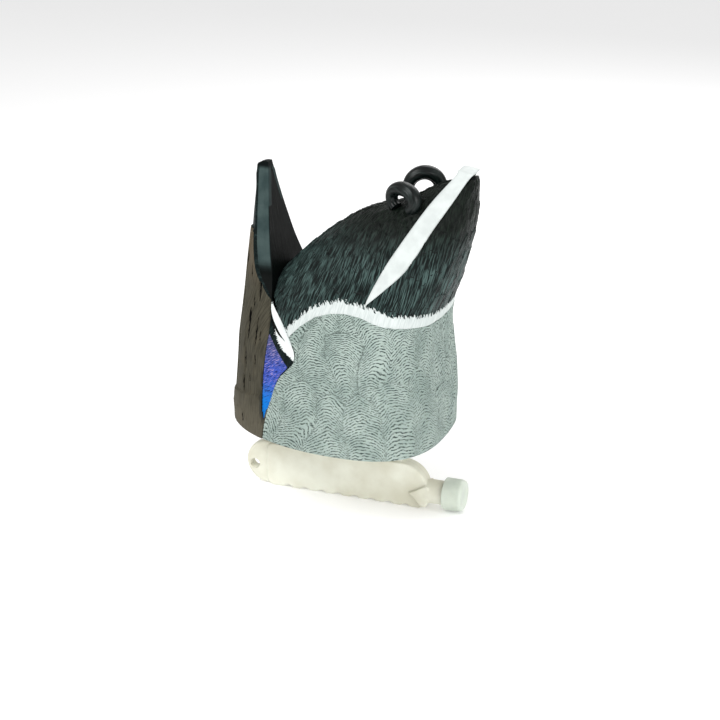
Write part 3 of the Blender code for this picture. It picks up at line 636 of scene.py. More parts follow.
# cut slits: x, lower z, upper z, half width
SLITS = [(-0.0628, 0.1830, 0.2110, 0.0013), (-0.0619, 0.1480, 0.1740, 0.0010),
         (-0.0618, 0.1300, 0.1430, 0.0008), (-0.0722, 0.1500, 0.1790, 0.0013),
         (-0.0752, 0.1240, 0.1450, 0.0008), (-0.0776, 0.1030, 0.1200, 0.0012),
         (-0.0772, 0.0760, 0.0850, 0.0010), (-0.0742, 0.2000, 0.2120, 0.0009),
         (-0.0850, 0.1680, 0.1900, 0.0012), (-0.0875, 0.1360, 0.1560, 0.0013),
         (-0.0890, 0.1130, 0.1270, 0.0011), (-0.0825, 0.2080, 0.2240, 0.0010),
         (-0.0690, 0.1150, 0.1240, 0.0007), (-0.0570, 0.1540, 0.1640, 0.0006),
         (-0.0690, 0.1770, 0.1880, 0.0005)]
WING_LEVELS = 250
PANEL_COLUMNS, TERTIAL_COLUMNS, WALL_COLUMNS, INNER_COLUMNS = 34, 100, 10, 36
WING_THICK = 0.0030
BLADE_START, STEP_HEIGHT = 0.2060, 0.2585  # where the edge face begins, and the step across it
NOT_HERE = -0.01                           # an attribute's value where its paint doesn't reach

wing_paint, tree, shader = new_paint("wing_paint", specular=0.03)
mottle = cloud(tree, 60.0, 4.0)
fine = strokes(tree, 0.0009, 0.0130)
broad = strokes(tree, 0.0028, 0.0300)
height = own_axis(tree, "Z")
brown = blended(fine.eased(0.38, 0.62), srgb(58, 56, 47), srgb(75, 72, 61))
brown = blended(broad.eased(0.58, 0.75) * 0.45, brown, srgb(46, 43, 37))
brown = blended(mottle.eased(0.50, 0.72) * 0.35, brown, srgb(90, 84, 70))
brown = blended(height.eased(0.112, 0.078, 0.0, 0.35), brown, srgb(112, 106, 92))
brown = blended(height.eased(0.190, 0.222, 0.0, 0.35), brown, srgb(112, 98, 80))
# the slits are coloured near black: painted shade in the cuts
brown = blended(carried(tree, "slit").eased(0.02, 0.25), brown, srgb(7, 7, 6))
slate = blended(fine.eased(0.45, 0.70) * 0.7, srgb(16, 24, 24), srgb(42, 56, 55))
# the blade's edge face is painted lighter, a painted light, and its inner side and the wall below the blade
# near black, a painted shade
lit_edge_face = blended(mottle.eased(0.3, 0.7), srgb(48, 62, 62), srgb(66, 80, 79))
slate = blended(carried(tree, "wall") * 0.9, slate, lit_edge_face)
slate = blended(height.eased(0.2865, 0.2905), slate, srgb(12, 17, 17))
slate = blended(carried(tree, "inner"), slate, srgb(6, 9, 8))
# speculum: violet above, bright blue below, with pinkish flecks between its barbs
barbs = strokes(tree, 0.0010, 0.0034, 1.1)
shift = (barbs - 0.5).scaled(0.030, height)
blue = blended(shift.eased(0.100, 0.130), srgb(20, 122, 214), srgb(62, 84, 176))
blue = blended(shift.eased(0.132, 0.160), blue, srgb(78, 82, 120))
blue = blended(barbs.eased(0.56, 0.66) * height.eased(0.108, 0.130), blue, srgb(150, 134, 176))
blue = blended(barbs.eased(0.47, 0.38) * height.eased(0.096, 0.116, 0.25, 1.0), blue, srgb(30, 36, 84))
ragged = (strokes(tree, 0.0013, 0.0070, 0.9) - 0.5) * 0.0070
in_panel = (carried(tree, "speculum") + ragged * 0.25).eased(0.0, 0.0004)
in_bar = (carried(tree, "bar") + ragged * 2.0).eased(0.0, 0.0003)
is_brown = carried(tree, "tertial").eased(0.0, 0.0004)
coat = blended(in_bar, blended(in_panel, slate, blue), srgb(216, 222, 220))
relief = fine.scaled(1.0, broad * 0.7) * (1.0 - carried(tree, "wall") * 0.8)
dress(shader, blended(is_brown, coat, brown), is_brown.scaled(0.20, mottle.scaled(0.14, 0.36)), relief,
      0.5, 0.0004)


def wing_ring(level, row):
    """One level ring of the wings, from the left edge over the back to the right and back inside. It comes
    with each point's kind (0 outside, 0.5 the soft edge, 1 the wall, 2 inside), its outward direction and
    how far it lies from the middle of the back."""
    _, back_x, half, edge_x, flat_x, flat = row
    reach = OVAL_X - back_x
    edge = math.acos(min(1.0, max(-1.0, (OVAL_X - edge_x) / reach)))
    across = half / math.sin(edge)

    def outside(a, sunk=0.0):
        return np.stack([OVAL_X - (reach - sunk) * np.cos(a), (across - sunk) * np.sin(a)], -1)

    def inside(a):
        plane = np.stack([np.full_like(a, flat_x), half * a / edge], -1)
        return outside(a, WING_THICK) * (1 - flat) + plane * flat

    wall_width = float(np.linalg.norm(outside(np.array([edge])) - inside(np.array([edge]))))
    soft = min(0.0016, 0.3 * wall_width)
    tertial = math.acos(min(1.0, (OVAL_X - on_line(TERTIAL_EDGE, level)) / reach))
    tertial = min(tertial, edge - 1.6 * soft / across)
    gap = 0.0003 / across
    out_to = edge - soft / across
    half_angles = np.concatenate([np.linspace(out_to, tertial + gap, PANEL_COLUMNS),
                                  np.linspace(tertial, 0, TERTIAL_COLUMNS)])
    angles = np.concatenate([-half_angles, half_angles[-2::-1]])
    parts = [outside(angles)]
    kinds = [np.zeros(len(angles))]
    turns = [angles]
    inner_angles = np.linspace(edge, -edge, INNER_COLUMNS)
    for sign in (1, -1):
        corner = outside(np.array([sign * edge]))[0]
        inner_corner = inside(np.array([sign * edge]))[0]
        along_wall = (inner_corner - corner) / max(wall_width, 1e-9)
        on_arc = outside(np.array([sign * out_to]))[0]
        t = np.linspace(0, 1, 6)[1:, None]
        bend = (1 - t) ** 2 * on_arc + 2 * t * (1 - t) * corner + t**2 * (corner + along_wall * soft)
        t = np.linspace(0, 1, WALL_COLUMNS + 1)[1:, None]
        wall = corner + along_wall * soft + (inner_corner - corner - along_wall * soft) * t
        side = np.concatenate([bend, wall[:-1]])
        kind = np.concatenate([np.full(len(bend), 0.5), np.ones(len(wall) - 1)])
        if sign > 0:
            parts += [side, inside(inner_angles)]
            kinds += [kind, np.full(INNER_COLUMNS, 2.0)]
            turns += [np.full(len(side), edge), inner_angles]
        else:
            parts.append(side[::-1])
            kinds.append(kind[::-1])
            turns.append(np.full(len(side), -edge))
    angles = np.concatenate(turns)
    direction = np.stack([-np.cos(angles) / reach, np.sin(angles) / across], -1)
    direction /= np.linalg.norm(direction, axis=1, keepdims=True)
    return np.concatenate(parts), np.concatenate(kinds), direction, angles * across


levels = np.linspace(WING_ROWS[0, 0], WING_ROWS[-1, 0], WING_LEVELS)
rings = [wing_ring(level, row) for level, row in zip(levels, wing_rows_at(levels))]
plan, kind, direction, across = (np.array(column) for column in zip(*rings))
x, y = plan[..., 0], plan[..., 1]
z = np.repeat(levels[:, None], x.shape[1], 1)
outside_share = (kind < 0.75).astype(float)

tip_line = 0.2150 + 0.0250 * np.clip(np.abs(y) / 0.010, 0, 1) ** 0.7 - 0.10 * np.maximum(np.abs(y) - 0.012, 0)
tertial = np.minimum(on_line(TERTIAL_EDGE, z) - x, tip_line - z)
tertial_outside = np.where(kind < 0.4, tertial, np.where(z < 0.0985, 0.01, NOT_HERE))
flank_line = np.interp(z, WING_ROWS[:, 0], WING_ROWS[:, 3])
speculum_top = 0.1613 - 1.044 * (x + 0.0467)
speculum = np.minimum.reduce([speculum_top - z, z - 0.0800, -tertial, flank_line - x - 0.0002])
speculum = np.where((kind < 0.4) & (z < 0.165), speculum, NOT_HERE)
bar_ends = np.minimum((z - BAR_LOW) * 2, BAR_HIGH - z)
bar = np.minimum(x - on_line(BAR_INNER, z), bar_ends)
bar = np.where(kind < 0.75, bar, np.where(kind < 1.5, bar_ends, NOT_HERE))

slit = np.full_like(x, -1.0)
for slit_x, low, high, half in SLITS:
    shape = 1 - ((x - slit_x) / half) ** 2 - ((z - (low + high) / 2) / ((high - low) / 2)) ** 2
    slit = np.maximum(slit, shape)
slit = np.minimum(slit, tertial_outside * 1000)

brown_share = rise(tertial_outside, 0.00028)
jut_line = np.interp(np.abs(y), (0.0, 0.047, 0.058), (0.0925, 0.103, 0.108))
jut_line += cloudy(across / 0.009, z * 0, 5) * 0.0008
jut = rise(jut_line - z, 0.0013)
# three long feathers lie on each side of the back, and short ones cover their roots
feather = np.abs(across) / 0.0225 + 0.16 * np.sin(z * 34 + 1.0) + cloudy(across / 0.03, z / 0.05, 6) * 0.05
long_feathers = 0.00065 * (feather % 1.0) - 0.0004 * np.exp(-np.abs(feather - np.round(feather)) * 26)
root_edges = cloudy(across / 0.004, z / 0.02, 7) * 0.0008
root_below, _ = shingled(across + 0.5, z - 0.066, 0.024, 0.018, 0.008, root_edges, 8)
short_feathers = 0.0006 * np.exp(-root_below / 0.003)
brown_relief = long_feathers * (1 - jut) + short_feathers * jut * (z < 0.091)
grain = cloudy(across / 0.0016, z / 0.018, 9) * 0.00014
lift = -0.0010 + brown_share * (0.0011 + 0.0019 * jut + brown_relief) - 0.0014 * rise(slit, 0.5) + grain
lift += 0.0009 * rise(bar, 0.0005) * (kind < 0.75)
lift += 0.00018 * cloudy((across + 0.9 * z) / 0.0016, z / 0.0060, 10) * rise(speculum, 0.001)
lift += 0.0009 * rise(z - 0.268, 0.020) * (kind < 0.75)
lift *= outside_share
plan = plan + direction * lift[..., None]
# the blade's edge face: a groove down it and a shallow step across it
on_wall = kind == 1
wall_rank = np.zeros_like(x)
left_wall = np.flatnonzero(on_wall[0] & (across[0] < 0))[::-1]
for wall_columns in (np.flatnonzero(on_wall[0] & (across[0] > 0)), left_wall):
    wall_rank[:, wall_columns] = np.linspace(0.1, 1, len(wall_columns))[None, :]
groove = np.exp(-(((wall_rank - 0.62) / 0.07) ** 2)) * on_wall * rise(z - BLADE_START, 0.01)
step = rise(z - STEP_HEIGHT, 0.0010) * on_wall * (wall_rank < 0.62)
plan[..., 1] -= np.sign(across) * (0.0008 * groove + 0.0005 * step)
points = np.concatenate([plan, z[..., None]], -1)

# rounded upper end, lower on the back side
points[..., 2] -= 0.0042 * rise(points[..., 2] - 0.276, 0.017) * rise(-0.0705 - points[..., 0], 0.011)
crown = crown_rings(points[-1], points[-1].mean(axis=0), 8, 0.62, (0, 0, 0.0020))
points = np.concatenate([points, np.array(crown)])
# above the step the lighter paint of the edge face, a painted light, turns a narrow strip onto the blade's
# inner side
to_edge = np.abs(across) - np.abs(across).max(axis=1, keepdims=True)
strip = (kind == 2) * rise(to_edge + 0.0046, 0.0004) * rise(z - STEP_HEIGHT, 0.0006)
blade = rise(z - BLADE_START, 0.0120)
# wall carries the painted light of the blade's edge face, inner the painted shade of its inner side and of
# the wall below the blade
wing_values = {"across": across, "along": z, "tertial": tertial_outside, "speculum": speculum, "bar": bar,
               "slit": slit, "wall": on_wall * blade + 0.5 * strip,
               "inner": (kind == 2) * (1 - strip) + on_wall * (1 - blade)}
wing_values = {key: stretched(array, 0, len(crown)) for key, array in wing_values.items()}
wings = closed_piece("wings", points, tube_faces(*points.shape[:2]), wing_values, wing_paint, 48)
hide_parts("folded_wings")
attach(wings, "decoy")

# ================================================================ the tail fan
# A flat plate that stands in a slot between rump and undertail. Only its edge shows: a smooth white
# stripe on each side that starts as a point at the flank and ends round at the tip.
# Where the stripe's two sides lie on the bird's left, from the flank to the tip: x, y, z
STRIPE_BACK = np.array([(0.0385, -0.0640, 0.1995), (0.0410, -0.0605, 0.2080), (0.0520, -0.0505, 0.2320),
                        (0.0700, -0.0345, 0.2630), (0.0810, -0.0240, 0.2800), (0.0945, -0.0105, 0.2975),
                        (0.0965, -0.0080, 0.3022)])
STRIPE_BELLY = np.array([(0.0390, -0.0640, 0.1998), (0.0530, -0.0585, 0.2125), (0.0690, -0.0490, 0.2295),
                         (0.0850, -0.0345, 0.2590), (0.0965, -0.0235, 0.2785), (0.1060, -0.0115, 0.2955),
                         (0.1098, -0.0085, 0.2998)])
STRIPE_PROUD = 0.0014
TAIL_STEPS, EDGE_POINTS, FACE_POINTS = 160, 26, 30
TIP_START = 5.8                            # beyond this row of the stripe the whole fan is white
ALL_WHITE = 0.01                           # the margin attribute's value well inside the white

tail_paint, tree, shader = new_paint("tail_paint", specular=0.25)
mottle = cloud(tree, 80.0, 3.0)
white = blended(mottle.eased(0.35, 0.65), srgb(188, 194, 192), srgb(200, 206, 204))
dark = blended(strokes(tree, 0.0012, 0.0150), srgb(5, 8, 7), srgb(20, 26, 24))
in_white = (strokes(tree, 0.0050, 0.0040) - 0.5).scaled(0.0012, carried(tree, "margin"))
dress(shader, blended(in_white.eased(-0.0001, 0.0001), dark, white), mottle.scaled(0.15, 0.36),
      strokes(tree, 0.0016, 0.0200), 0.25, 0.0003)

places = np.linspace(0, len(STRIPE_BACK) - 1, TAIL_STEPS)
fan, margin = [], []
for back, belly, place in zip(through_rows(STRIPE_BACK, places), through_rows(STRIPE_BELLY, places), places):
    # the edge bulges out of the body, most in the middle and little at the point where it starts
    proud = STRIPE_PROUD * min(1.0, 0.35 + place)
    t = np.linspace(0, 1, EDGE_POINTS)
    bulge = np.sqrt(np.clip(1 - np.abs(2 * t - 1) ** 4, 0, 1))[:, None] * proud
    out = np.array((0.0, -1.0, 0.15))
    left = back + (belly - back) * t[:, None] + out * (bulge - 0.0002)
    side_share = np.linspace(-1, 1, FACE_POINTS + 2)[1:-1]
    ones = np.ones(FACE_POINTS)
    belly_face = np.stack([belly[0] * ones, -belly[1] * side_share, belly[2] * ones], -1)
    back_face = np.stack([back[0] * ones, back[1] * side_share, back[2] * ones], -1)
    fan.append(np.concatenate([left, belly_face, left[::-1] * (1, -1, 1), back_face[::-1] * (1, -1, 1)]))
    edge_margin = np.full(EDGE_POINTS, ALL_WHITE)
    face_margin = -(1 - np.abs(side_share)) * abs(belly[1]) + 0.0030
    if place > TIP_START:
        face_margin = ALL_WHITE * ones
    margin.append(np.concatenate([edge_margin, face_margin, edge_margin, face_margin]))
crown = crown_rings(fan[-1], fan[-1].mean(axis=0), 7, 0.75, (0.0007, 0, 0.0012))
fan = np.array(fan + crown)
tail_values = {"across": fan[..., 1] + fan[..., 0], "along": fan[..., 2] + 0.6 * fan[..., 0],
               "margin": stretched(np.array(margin), 0, len(crown))}
tail = closed_piece("tail_edge_fan", fan, tube_faces(*fan.shape[:2]), tail_values, tail_paint, 60)
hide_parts("tail_fan")
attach(tail, "decoy")

# ================================================================ the two curled tail feathers
# Glossy black rings of soft plastic, pegged into the rump and splayed outwards. Each is a feather rolled
# forwards, so a groove follows its shaft and it gets thinner towards its tip.
CURL_TUBE, CURL_SPLAY = 0.0060, math.radians(25)
CURL_STEPS, CURL_ROUND = 150, 48
CURL_LENGTH, CURL_GIRTH = 0.064, 0.033     # of the unrolled skin, which its streaks follow
GROOVES = (0.9, 2.5, 4.2)                  # where they lie round the tube
# formed by hand, so the two differ: side, name, centre, radius along the body, radius upwards
CURLS = [(-1, "left", (0.0548, -0.0200, 0.2770), 0.0128, 0.0092),
         (1, "right", (0.0595, 0.0200, 0.2775), 0.0134, 0.0130)]

curl_paint, tree, shader = new_paint("curl_paint", specular=0.24)
streak = strokes(tree, 0.0012, 0.0140, 0.3)
dress(shader, blended(streak.eased(0.4, 0.7), srgb(5, 9, 8), srgb(24, 34, 32)), streak.scaled(0.20, 0.22),
      streak, 0.45, 0.0004)

up = np.array((0.0, 0.0, 1.0))
phi = np.linspace(0, 2 * math.pi, CURL_ROUND, endpoint=False)
grooves = sum(np.exp(-((((phi - g + math.pi) % (2 * math.pi)) - math.pi) / 0.16) ** 2) for g in GROOVES)
for side, word, centre, reach_out, reach_up in CURLS:
    outwards = np.array((math.cos(CURL_SPLAY), side * math.sin(CURL_SPLAY), 0.0))
    sideways = np.cross(outwards, up)
    tube, run = [], []
    for share in np.linspace(0, 1, CURL_STEPS):
        a = math.radians(-50 + 285 * share)
        radial = outwards * math.cos(a) + up * math.sin(a)
        spot = centre + outwards * math.cos(a) * reach_out + up * math.sin(a) * reach_up
        girth = CURL_TUBE * (0.86 + 0.20 * math.sin(math.pi * min(1.0, share * 1.25)))
        size = girth * (1 - 0.10 * grooves)
        tube.append(spot + np.outer(np.cos(phi) * size * 0.94, radial)
                    + np.outer(np.sin(phi) * size * 1.06, sideways))
        run.append(np.full(CURL_ROUND, share * CURL_LENGTH))
    around_it = np.repeat(np.linspace(0, CURL_GIRTH, CURL_ROUND)[None, :], CURL_STEPS, 0)
    curl = closed_piece(f"curl_{word}", np.array(tube), tube_faces(CURL_STEPS, CURL_ROUND),
                        {"across": around_it, "along": np.array(run)}, curl_paint, 60)
    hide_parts(f"tail_curl_{word}")
    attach(curl, "decoy")

# ================================================================ the ballast keel
# A flat blow-moulded bottle in pale plastic that is filled with water or sand. Its foot is notched to
# wind a line on, the line's eye is in the lug at its rear, and its tongue is bolted between the cheeks.
KEEL_HALF_THICK, KEEL_TOP = 0.0070, 0.0400
KEEL_LEFT, KEEL_RIGHT = -0.0750, 0.0745
NOTCH_PITCH, NOTCH_RADIUS, NOTCH_DEPTH = 0.0156, 0.0060, 0.0019
LUG_CENTRE, LUG_RADIUS, LUG_HALF_THICK = (-0.0750, 0.0205), 0.0200, 0.0050
EYE_CENTRE, EYE_RADIUS = (-0.0870, 0.0175), 0.0046
NECK_Z, NECK_RADIUS, NECK_BORE, NECK_END = 0.0150, 0.0105, 0.0083, 0.1025
TONGUE_HALF_THICK, TONGUE_X, TONGUE_TOP = 0.0039, (-0.058, 0.050), 0.0685
THREAD_PITCH, THREAD_TURNS = 0.0040, 1.25
KEEL_CELL = 0.0006

# A faint grain and blotches, as on any moulded plastic that has been handled.
moulded_group, given, moulded_out = new_group("moulded_skin", {"Grain": 900.0, "Blotch": 40.0},
                                              ("Grain", "Blotch"))
for key, detail in (("Grain", 2.0), ("Blotch", 4.0)):
    moulded_group.links.new(cloud(moulded_group, given[key], detail).socket, moulded_out.inputs[key])


def moulded(name, light, dark, roughness, depth, grain=900.0, blotch=40.0, specular=0.45, seam=None):
    """A plastic or rubber with grain and blotches, and a fine parting line where y is 0 if seam is set."""
    made, tree, shader = new_paint(name, specular=specular)
    skin_node = put(tree, "ShaderNodeGroup", {"node_tree": moulded_group}, Grain=grain, Blotch=blotch)
    surface, blotches = (Value(skin_node.outputs[key]) for key in ("Grain", "Blotch"))
    colour = blended(blotches.eased(0.32, 0.68), light, dark)
    if seam:
        line = own_axis(tree, "Y").through("ABSOLUTE").eased(0.00035, 0.00015)
        surface = line.scaled(1.5, surface)
        colour = blended(line * 0.35, colour, seam)
    dress(shader, colour, blotches.scaled(0.20, roughness - 0.10), surface, 0.5, depth)
    return made


keel_plastic = moulded("keel_plastic", srgb(233, 234, 220), srgb(210, 208, 189), 0.42, 0.00018, 600, 26,
                       seam=srgb(176, 172, 154))


def evaluated(obj):
    """The object's mesh with its modifiers applied; the object keeps none."""
    bpy.context.view_layer.update()
    mesh = bpy.data.meshes.new_from_object(obj.evaluated_get(bpy.context.evaluated_depsgraph_get()))
    obj.modifiers.clear()
    obj.data = mesh
    return obj


def as_mesh(bm, name):
    """The bmesh as a mesh; the bmesh is gone after it."""
    mesh = bpy.data.meshes.new(name)
    bm.to_mesh(mesh)
    bm.free()
    return mesh


def plate(outline, half_thick, rounding):
    """A plate standing in XZ about y = 0, with its long edges rounded."""
    bm = bmesh.new()
    face = bm.faces.new([bm.verts.new((px, -half_thick, pz)) for px, pz in outline])
    moved = bmesh.ops.extrude_face_region(bm, geom=[face])
    bmesh.ops.translate(bm, vec=(0, 2 * half_thick, 0),
                        verts=[v for v in moved["geom"] if isinstance(v, bmesh.types.BMVert)])
    bmesh.ops.recalc_face_normals(bm, faces=bm.faces)
    edges = [e for e in bm.edges if abs(e.verts[0].co.y - e.verts[1].co.y) < 1e-9]
    if rounding:
        bmesh.ops.bevel(bm, geom=edges, offset=rounding, segments=5, profile=0.5, affect="EDGES",
                        clamp_overlap=True)
    return as_mesh(bm, "plate")


def arc_points(centre, radius, start, end, steps):
    turns = [math.radians(start + (end - start) * i / steps) for i in range(steps + 1)]
    return [(centre[0] + radius * math.cos(a), centre[1] + radius * math.sin(a)) for a in turns]


def turned_mesh(profile, height, sides=96):
    """A closed solid turned about X, from (x, radius) points that start and end on the axis."""
    bm = bmesh.new()
    rings = []
    for px, radius in profile:
        turns = [2 * math.pi * i / sides for i in range(1 if radius < 1e-7 else sides)]
        rings.append([bm.verts.new((px, radius * math.cos(a), height + radius * math.sin(a))) for a in turns])
    for low, high in zip(rings, rings[1:]):
        for i in range(sides):
            j = (i + 1) % sides
            corners = [low[i % len(low)], low[j % len(low)], high[j % len(high)], high[i % len(high)]]
            bm.faces.new(list(dict.fromkeys(corners)))
    bmesh.ops.recalc_face_normals(bm, faces=bm.faces)
    return as_mesh(bm, "turned")


def helix_mesh(radius, start_x, ridge, height):
    """A screw thread's ridge as one closed tube that tapers into the wall at both ends."""
    per_turn, sides = 48, 10
    steps = int(THREAD_TURNS * per_turn)
    phi = np.linspace(0, 2 * math.pi, sides, endpoint=False)
    rows = []
    for i in range(steps + 1):
        a = 2 * math.pi * i / per_turn
        radial = np.array((0.0, math.cos(a), math.sin(a)))
        spot = np.array((start_x + THREAD_PITCH * i / per_turn, 0.0, height)) + radial * radius
        fade = min(1.0, i / 8, (steps - i) / 8) * ridge + 0.00005
        rows.append(spot + np.outer(np.cos(phi) * fade, radial) + np.outer(np.sin(phi) * fade, (1, 0, 0)))
    faces = tube_faces(len(rows), sides)
    faces[-2].reverse()
    mesh = bpy.data.meshes.new("thread")
    mesh.from_pydata(np.array(rows).reshape(-1, 3).tolist(), [], faces)
    return mesh


def one_object(name, meshes, paint):
    """The meshes together as one object."""
    bm = bmesh.new()
    for part in meshes:
        bm.from_mesh(part)
    mesh = as_mesh(bm, name)
    mesh.materials.append(paint)
    made = bpy.data.objects.new(name, mesh)
    scene.collection.objects.link(made)
    return made


def foot_height(px):
    """The keel's lower edge with its shallow round notches."""
    deepest = 0.0
    for step in (-3.5, -2.5, -1.5, -0.5, 0.5, 1.5, 2.5, 3.5):
        off = px - step * NOTCH_PITCH
        if abs(off) < NOTCH_RADIUS:
            deepest = max(deepest, math.sqrt(NOTCH_RADIUS**2 - off**2) - (NOTCH_RADIUS - NOTCH_DEPTH))
    return deepest


foot_run = [(px, foot_height(px)) for px in np.arange(KEEL_LEFT + 0.0075, KEEL_RIGHT - 0.0078, 0.0005)]
keel_outline = (
    arc_points((KEEL_LEFT + 0.007, 0.007), 0.007, 180, 268, 8) + foot_run
    + [(KEEL_RIGHT - 0.0072, 0.0), (KEEL_RIGHT - 0.0012, 0.0056), (KEEL_RIGHT, 0.0080)]
    + arc_points((KEEL_RIGHT - 0.023, KEEL_TOP - 0.023), 0.023, 0, 90, 14)
    + arc_points((KEEL_LEFT + 0.007, KEEL_TOP - 0.007), 0.007, 90, 180, 8)
)
lug_outline = arc_points(LUG_CENTRE, LUG_RADIUS, 72, 288, 40) + [(-0.060, 0.0045), (-0.060, 0.0365)]
tongue_outline = [(TONGUE_X[0], KEEL_TOP - 0.006), (TONGUE_X[1], KEEL_TOP - 0.006), (TONGUE_X[1], TONGUE_TOP),
                  (TONGUE_X[0], TONGUE_TOP)]
shoulder = [(0.0500, 0.0), (0.0500, 0.0040), (0.0610, KEEL_HALF_THICK - 0.0001), (0.0735, NECK_RADIUS),
            (NECK_END - 0.0008, NECK_RADIUS), (NECK_END, NECK_RADIUS - 0.0008), (NECK_END, 0.0)]
arrow_outline = [(px, NECK_Z + off) for px, off in (
    (0.0585, -0.0010), (0.0640, -0.0055), (0.0690, -0.0118), (0.0738, -0.0118), (0.0760, -0.0080),
    (0.0760, 0.0070), (0.0738, 0.0080))]
keel = one_object("keel", [plate(keel_outline, KEEL_HALF_THICK, 0.0034),
                           plate(lug_outline, LUG_HALF_THICK, 0.0022),
                           plate(tongue_outline, TONGUE_HALF_THICK, 0.0), turned_mesh(shoulder, NECK_Z),
                           plate(arrow_outline, KEEL_HALF_THICK + 0.0030, 0.0003)], keel_plastic)
remesh = keel.modifiers.new("skin", "REMESH")
remesh.mode = "VOXEL"
remesh.voxel_size = KEEL_CELL
smooth = keel.modifiers.new("soften", "SMOOTH")
smooth.factor = 0.4
smooth.iterations = 2
evaluated(keel)
bore_profile = [(0.0640, 0.0), (0.0640, 0.0040), (0.0745, NECK_BORE), (NECK_END + 0.006, NECK_BORE),
                (NECK_END + 0.006, 0.0)]
bore = one_object("bore", [turned_mesh(bore_profile, NECK_Z)], keel_plastic)
eye_bm = bmesh.new()
eye_place = Matrix.Translation((EYE_CENTRE[0], 0, EYE_CENTRE[1])) @ Matrix.Rotation(math.pi / 2, 4, "X")
bmesh.ops.create_cone(eye_bm, cap_ends=True, segments=64, radius1=EYE_RADIUS, radius2=EYE_RADIUS, depth=0.03,
                      matrix=eye_place)
eye = one_object("eye", [as_mesh(eye_bm, "eye")], keel_plastic)
for cutter in (bore, eye):
    cut = keel.modifiers.new("cut", "BOOLEAN")
    cut.operation = "DIFFERENCE"
    cut.solver = "MANIFOLD"
    cut.object = cutter
    evaluated(keel)
    bpy.data.objects.remove(cutter)
bm = bmesh.new()
bm.from_mesh(keel.data)
bm.from_mesh(helix_mesh(NECK_RADIUS + 0.0002, 0.0938, 0.0010, NECK_Z))
bm.to_mesh(keel.data)
bm.free()
smoothed(keel.data, 50)
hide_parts("keel_bottle")
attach(keel, "decoy")

# ================================================================ the screw cap and its liner
# A small cap with a rounded top and fine ribs to grip, moulded in a whiter plastic than the keel. It
# screws off along the neck to fill the keel, and a foam disc inside it makes the seal.
CAP_RADIUS, CAP_INNER, CAP_START, CAP_END = 0.0140, 0.0126, 0.0888, 0.1060
CAP_FLOOR = CAP_END - 0.0016
RIB_COUNT = 64

cap_plastic = moulded("cap_plastic", srgb(199, 207, 194), srgb(186, 195, 183), 0.36, 0.00008, 900, 60)
cap_profile = [(CAP_END - 0.0004, 0.0), (CAP_END - 0.0004, 0.0080), (CAP_END, 0.0090)]
cap_profile += [(CAP_END - 0.0026 + 0.0026 * math.cos(a), CAP_RADIUS - 0.0030 + 0.0026 * math.sin(a))
                for a in np.linspace(0, math.pi / 2, 10)]
cap_profile += [(CAP_START + 0.0030, CAP_RADIUS - 0.0002), (CAP_START + 0.0022, CAP_RADIUS),
                (CAP_START + 0.0005, CAP_RADIUS), (CAP_START, CAP_RADIUS - 0.0005),
                (CAP_START, CAP_INNER + 0.0004), (CAP_START + 0.0004, CAP_INNER), (CAP_FLOOR, CAP_INNER),
                (CAP_FLOOR, 0.0)]
cap_thread = helix_mesh(CAP_INNER, 0.0918, 0.0009, NECK_Z)
cap = one_object("screw_cap", [turned_mesh(cap_profile, NECK_Z), cap_thread], cap_plastic)
smoothed(cap.data, 35)
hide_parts("keel_cap")
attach(cap, "cap")


# Geometry Nodes that set a ring of half-round ribs about the X axis.
ribs_group = bpy.data.node_groups.new("grip_ribs", "GeometryNodeTree")
ribs_group.interface.new_socket("Geometry", in_out="OUTPUT", socket_type="NodeSocketGeometry")
for key, socket_kind, default in (("Count", "Int", 12), ("Ring Radius", "Float", 0.01),
                                  ("Rib Radius", "Float", 0.0003), ("Start", "Float", 0.0),
                                  ("Length", "Float", 0.01), ("Height", "Float", 0.0),
                                  ("Material", "Material", None)):
    rib_input = ribs_group.interface.new_socket(key, in_out="INPUT", socket_type="NodeSocket" + socket_kind)
    if default is not None:
        rib_input.default_value = default
given = ribs_group.nodes.new("NodeGroupInput").outputs


def add(kind_name, **sockets):
    return put(ribs_group, "GeometryNode" + kind_name, None, **sockets).outputs[0]


circle = add("MeshCircle", Vertices=given["Count"], Radius=given["Ring Radius"])
rib = add("MeshCylinder", Vertices=8, Radius=given["Rib Radius"], Depth=given["Length"])
halfway = Value(given["Length"]).scaled(0.5, given["Start"])
spot = put(ribs_group, "ShaderNodeCombineXYZ", None, X=halfway, Z=given["Height"]).outputs[0]
laid = add("Transform", Geometry=add("InstanceOnPoints", Points=circle, Instance=rib), Translation=spot,
           Rotation=(0.0, math.pi / 2, 0.0))
finish = add("SetMaterial", Geometry=add("RealizeInstances", Geometry=laid), Material=given["Material"])
ribs_group.links.new(finish, ribs_group.nodes.new("NodeGroupOutput").inputs["Geometry"])

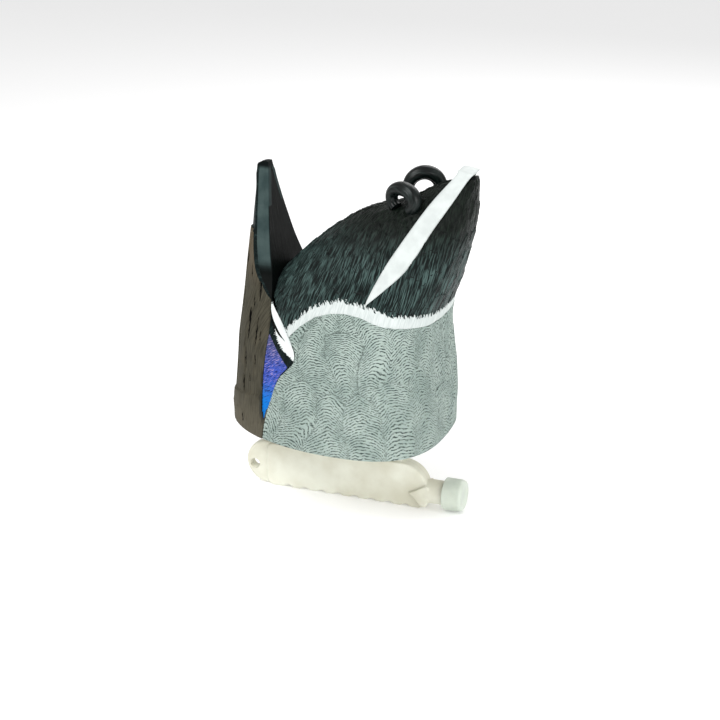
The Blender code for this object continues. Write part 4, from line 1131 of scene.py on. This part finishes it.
ribs = bpy.data.objects.new("cap_ribs", bpy.data.meshes.new("cap_ribs"))
scene.collection.objects.link(ribs)
modifier = ribs.modifiers.new("ribs", "NODES")
modifier.node_group = ribs_group
rib_sizes = {"Count": RIB_COUNT, "Ring Radius": CAP_RADIUS - 0.0005, "Rib Radius": 0.00042,
             "Start": CAP_START + 0.0030, "Length": 0.0108, "Height": NECK_Z, "Material": cap_plastic}
for item in ribs_group.interface.items_tree:
    if item.in_out == "INPUT":
        modifier[item.identifier] = rib_sizes[item.name]
evaluated(ribs)
smoothed(ribs.data, 50)
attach(ribs, "cap")

liner_foam = moulded("liner_foam", srgb(240, 240, 232), srgb(226, 226, 216), 0.8, 0.0003, 2200, 80)


def finished(paint, *starts):
    """Gives that material to the model's own pieces whose names start so."""
    for name, node in nodes.items():
        if name.startswith(starts):
            node.data.materials.clear()
            node.data.materials.append(paint)


finished(liner_foam, "cap_liner")

# ================================================================ the pan, its gasket, plug and screws
# The pan closes the body from below on a rubber ring, with eight screws round its edge. Two cheeks on it
# take the keel's tongue, and a rubber plug in it lets water out.
pan_plastic = moulded("pan_plastic", srgb(176, 174, 162), srgb(160, 158, 146), 0.55, 0.0002, 600, 25)
rubber = moulded("gasket_rubber", srgb(38, 38, 38), srgb(26, 26, 27), 0.72, 0.0002, 1400, 90, 0.3)
# zinc-plated steel with fine scratches and a slightly cloudy plating
steel, tree, shader = new_paint("plated_steel")
shader.inputs["Metallic"].default_value = 1.0
scratch_place = put(tree, "ShaderNodeMapping", None, Vector=own_place(tree), Scale=(250.0, 3000.0, 900.0))
scratches = cloud(tree, 1.0, 3.0, scratch_place.outputs[0])
dress(shader, blended(cloud(tree, 420.0, 4.0), srgb(168, 169, 172), srgb(206, 207, 209)),
      scratches.eased(0.3, 0.7, 0.22, 0.42), scratches, 0.25, 0.0001)

finished(pan_plastic, "hull_pan")
finished(rubber, "pan_gasket", "vent_plug")
finished(steel, "pan_screw", "keel_bolt", "keel_nut")

# ================================================================ sizes, and the end
low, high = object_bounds()
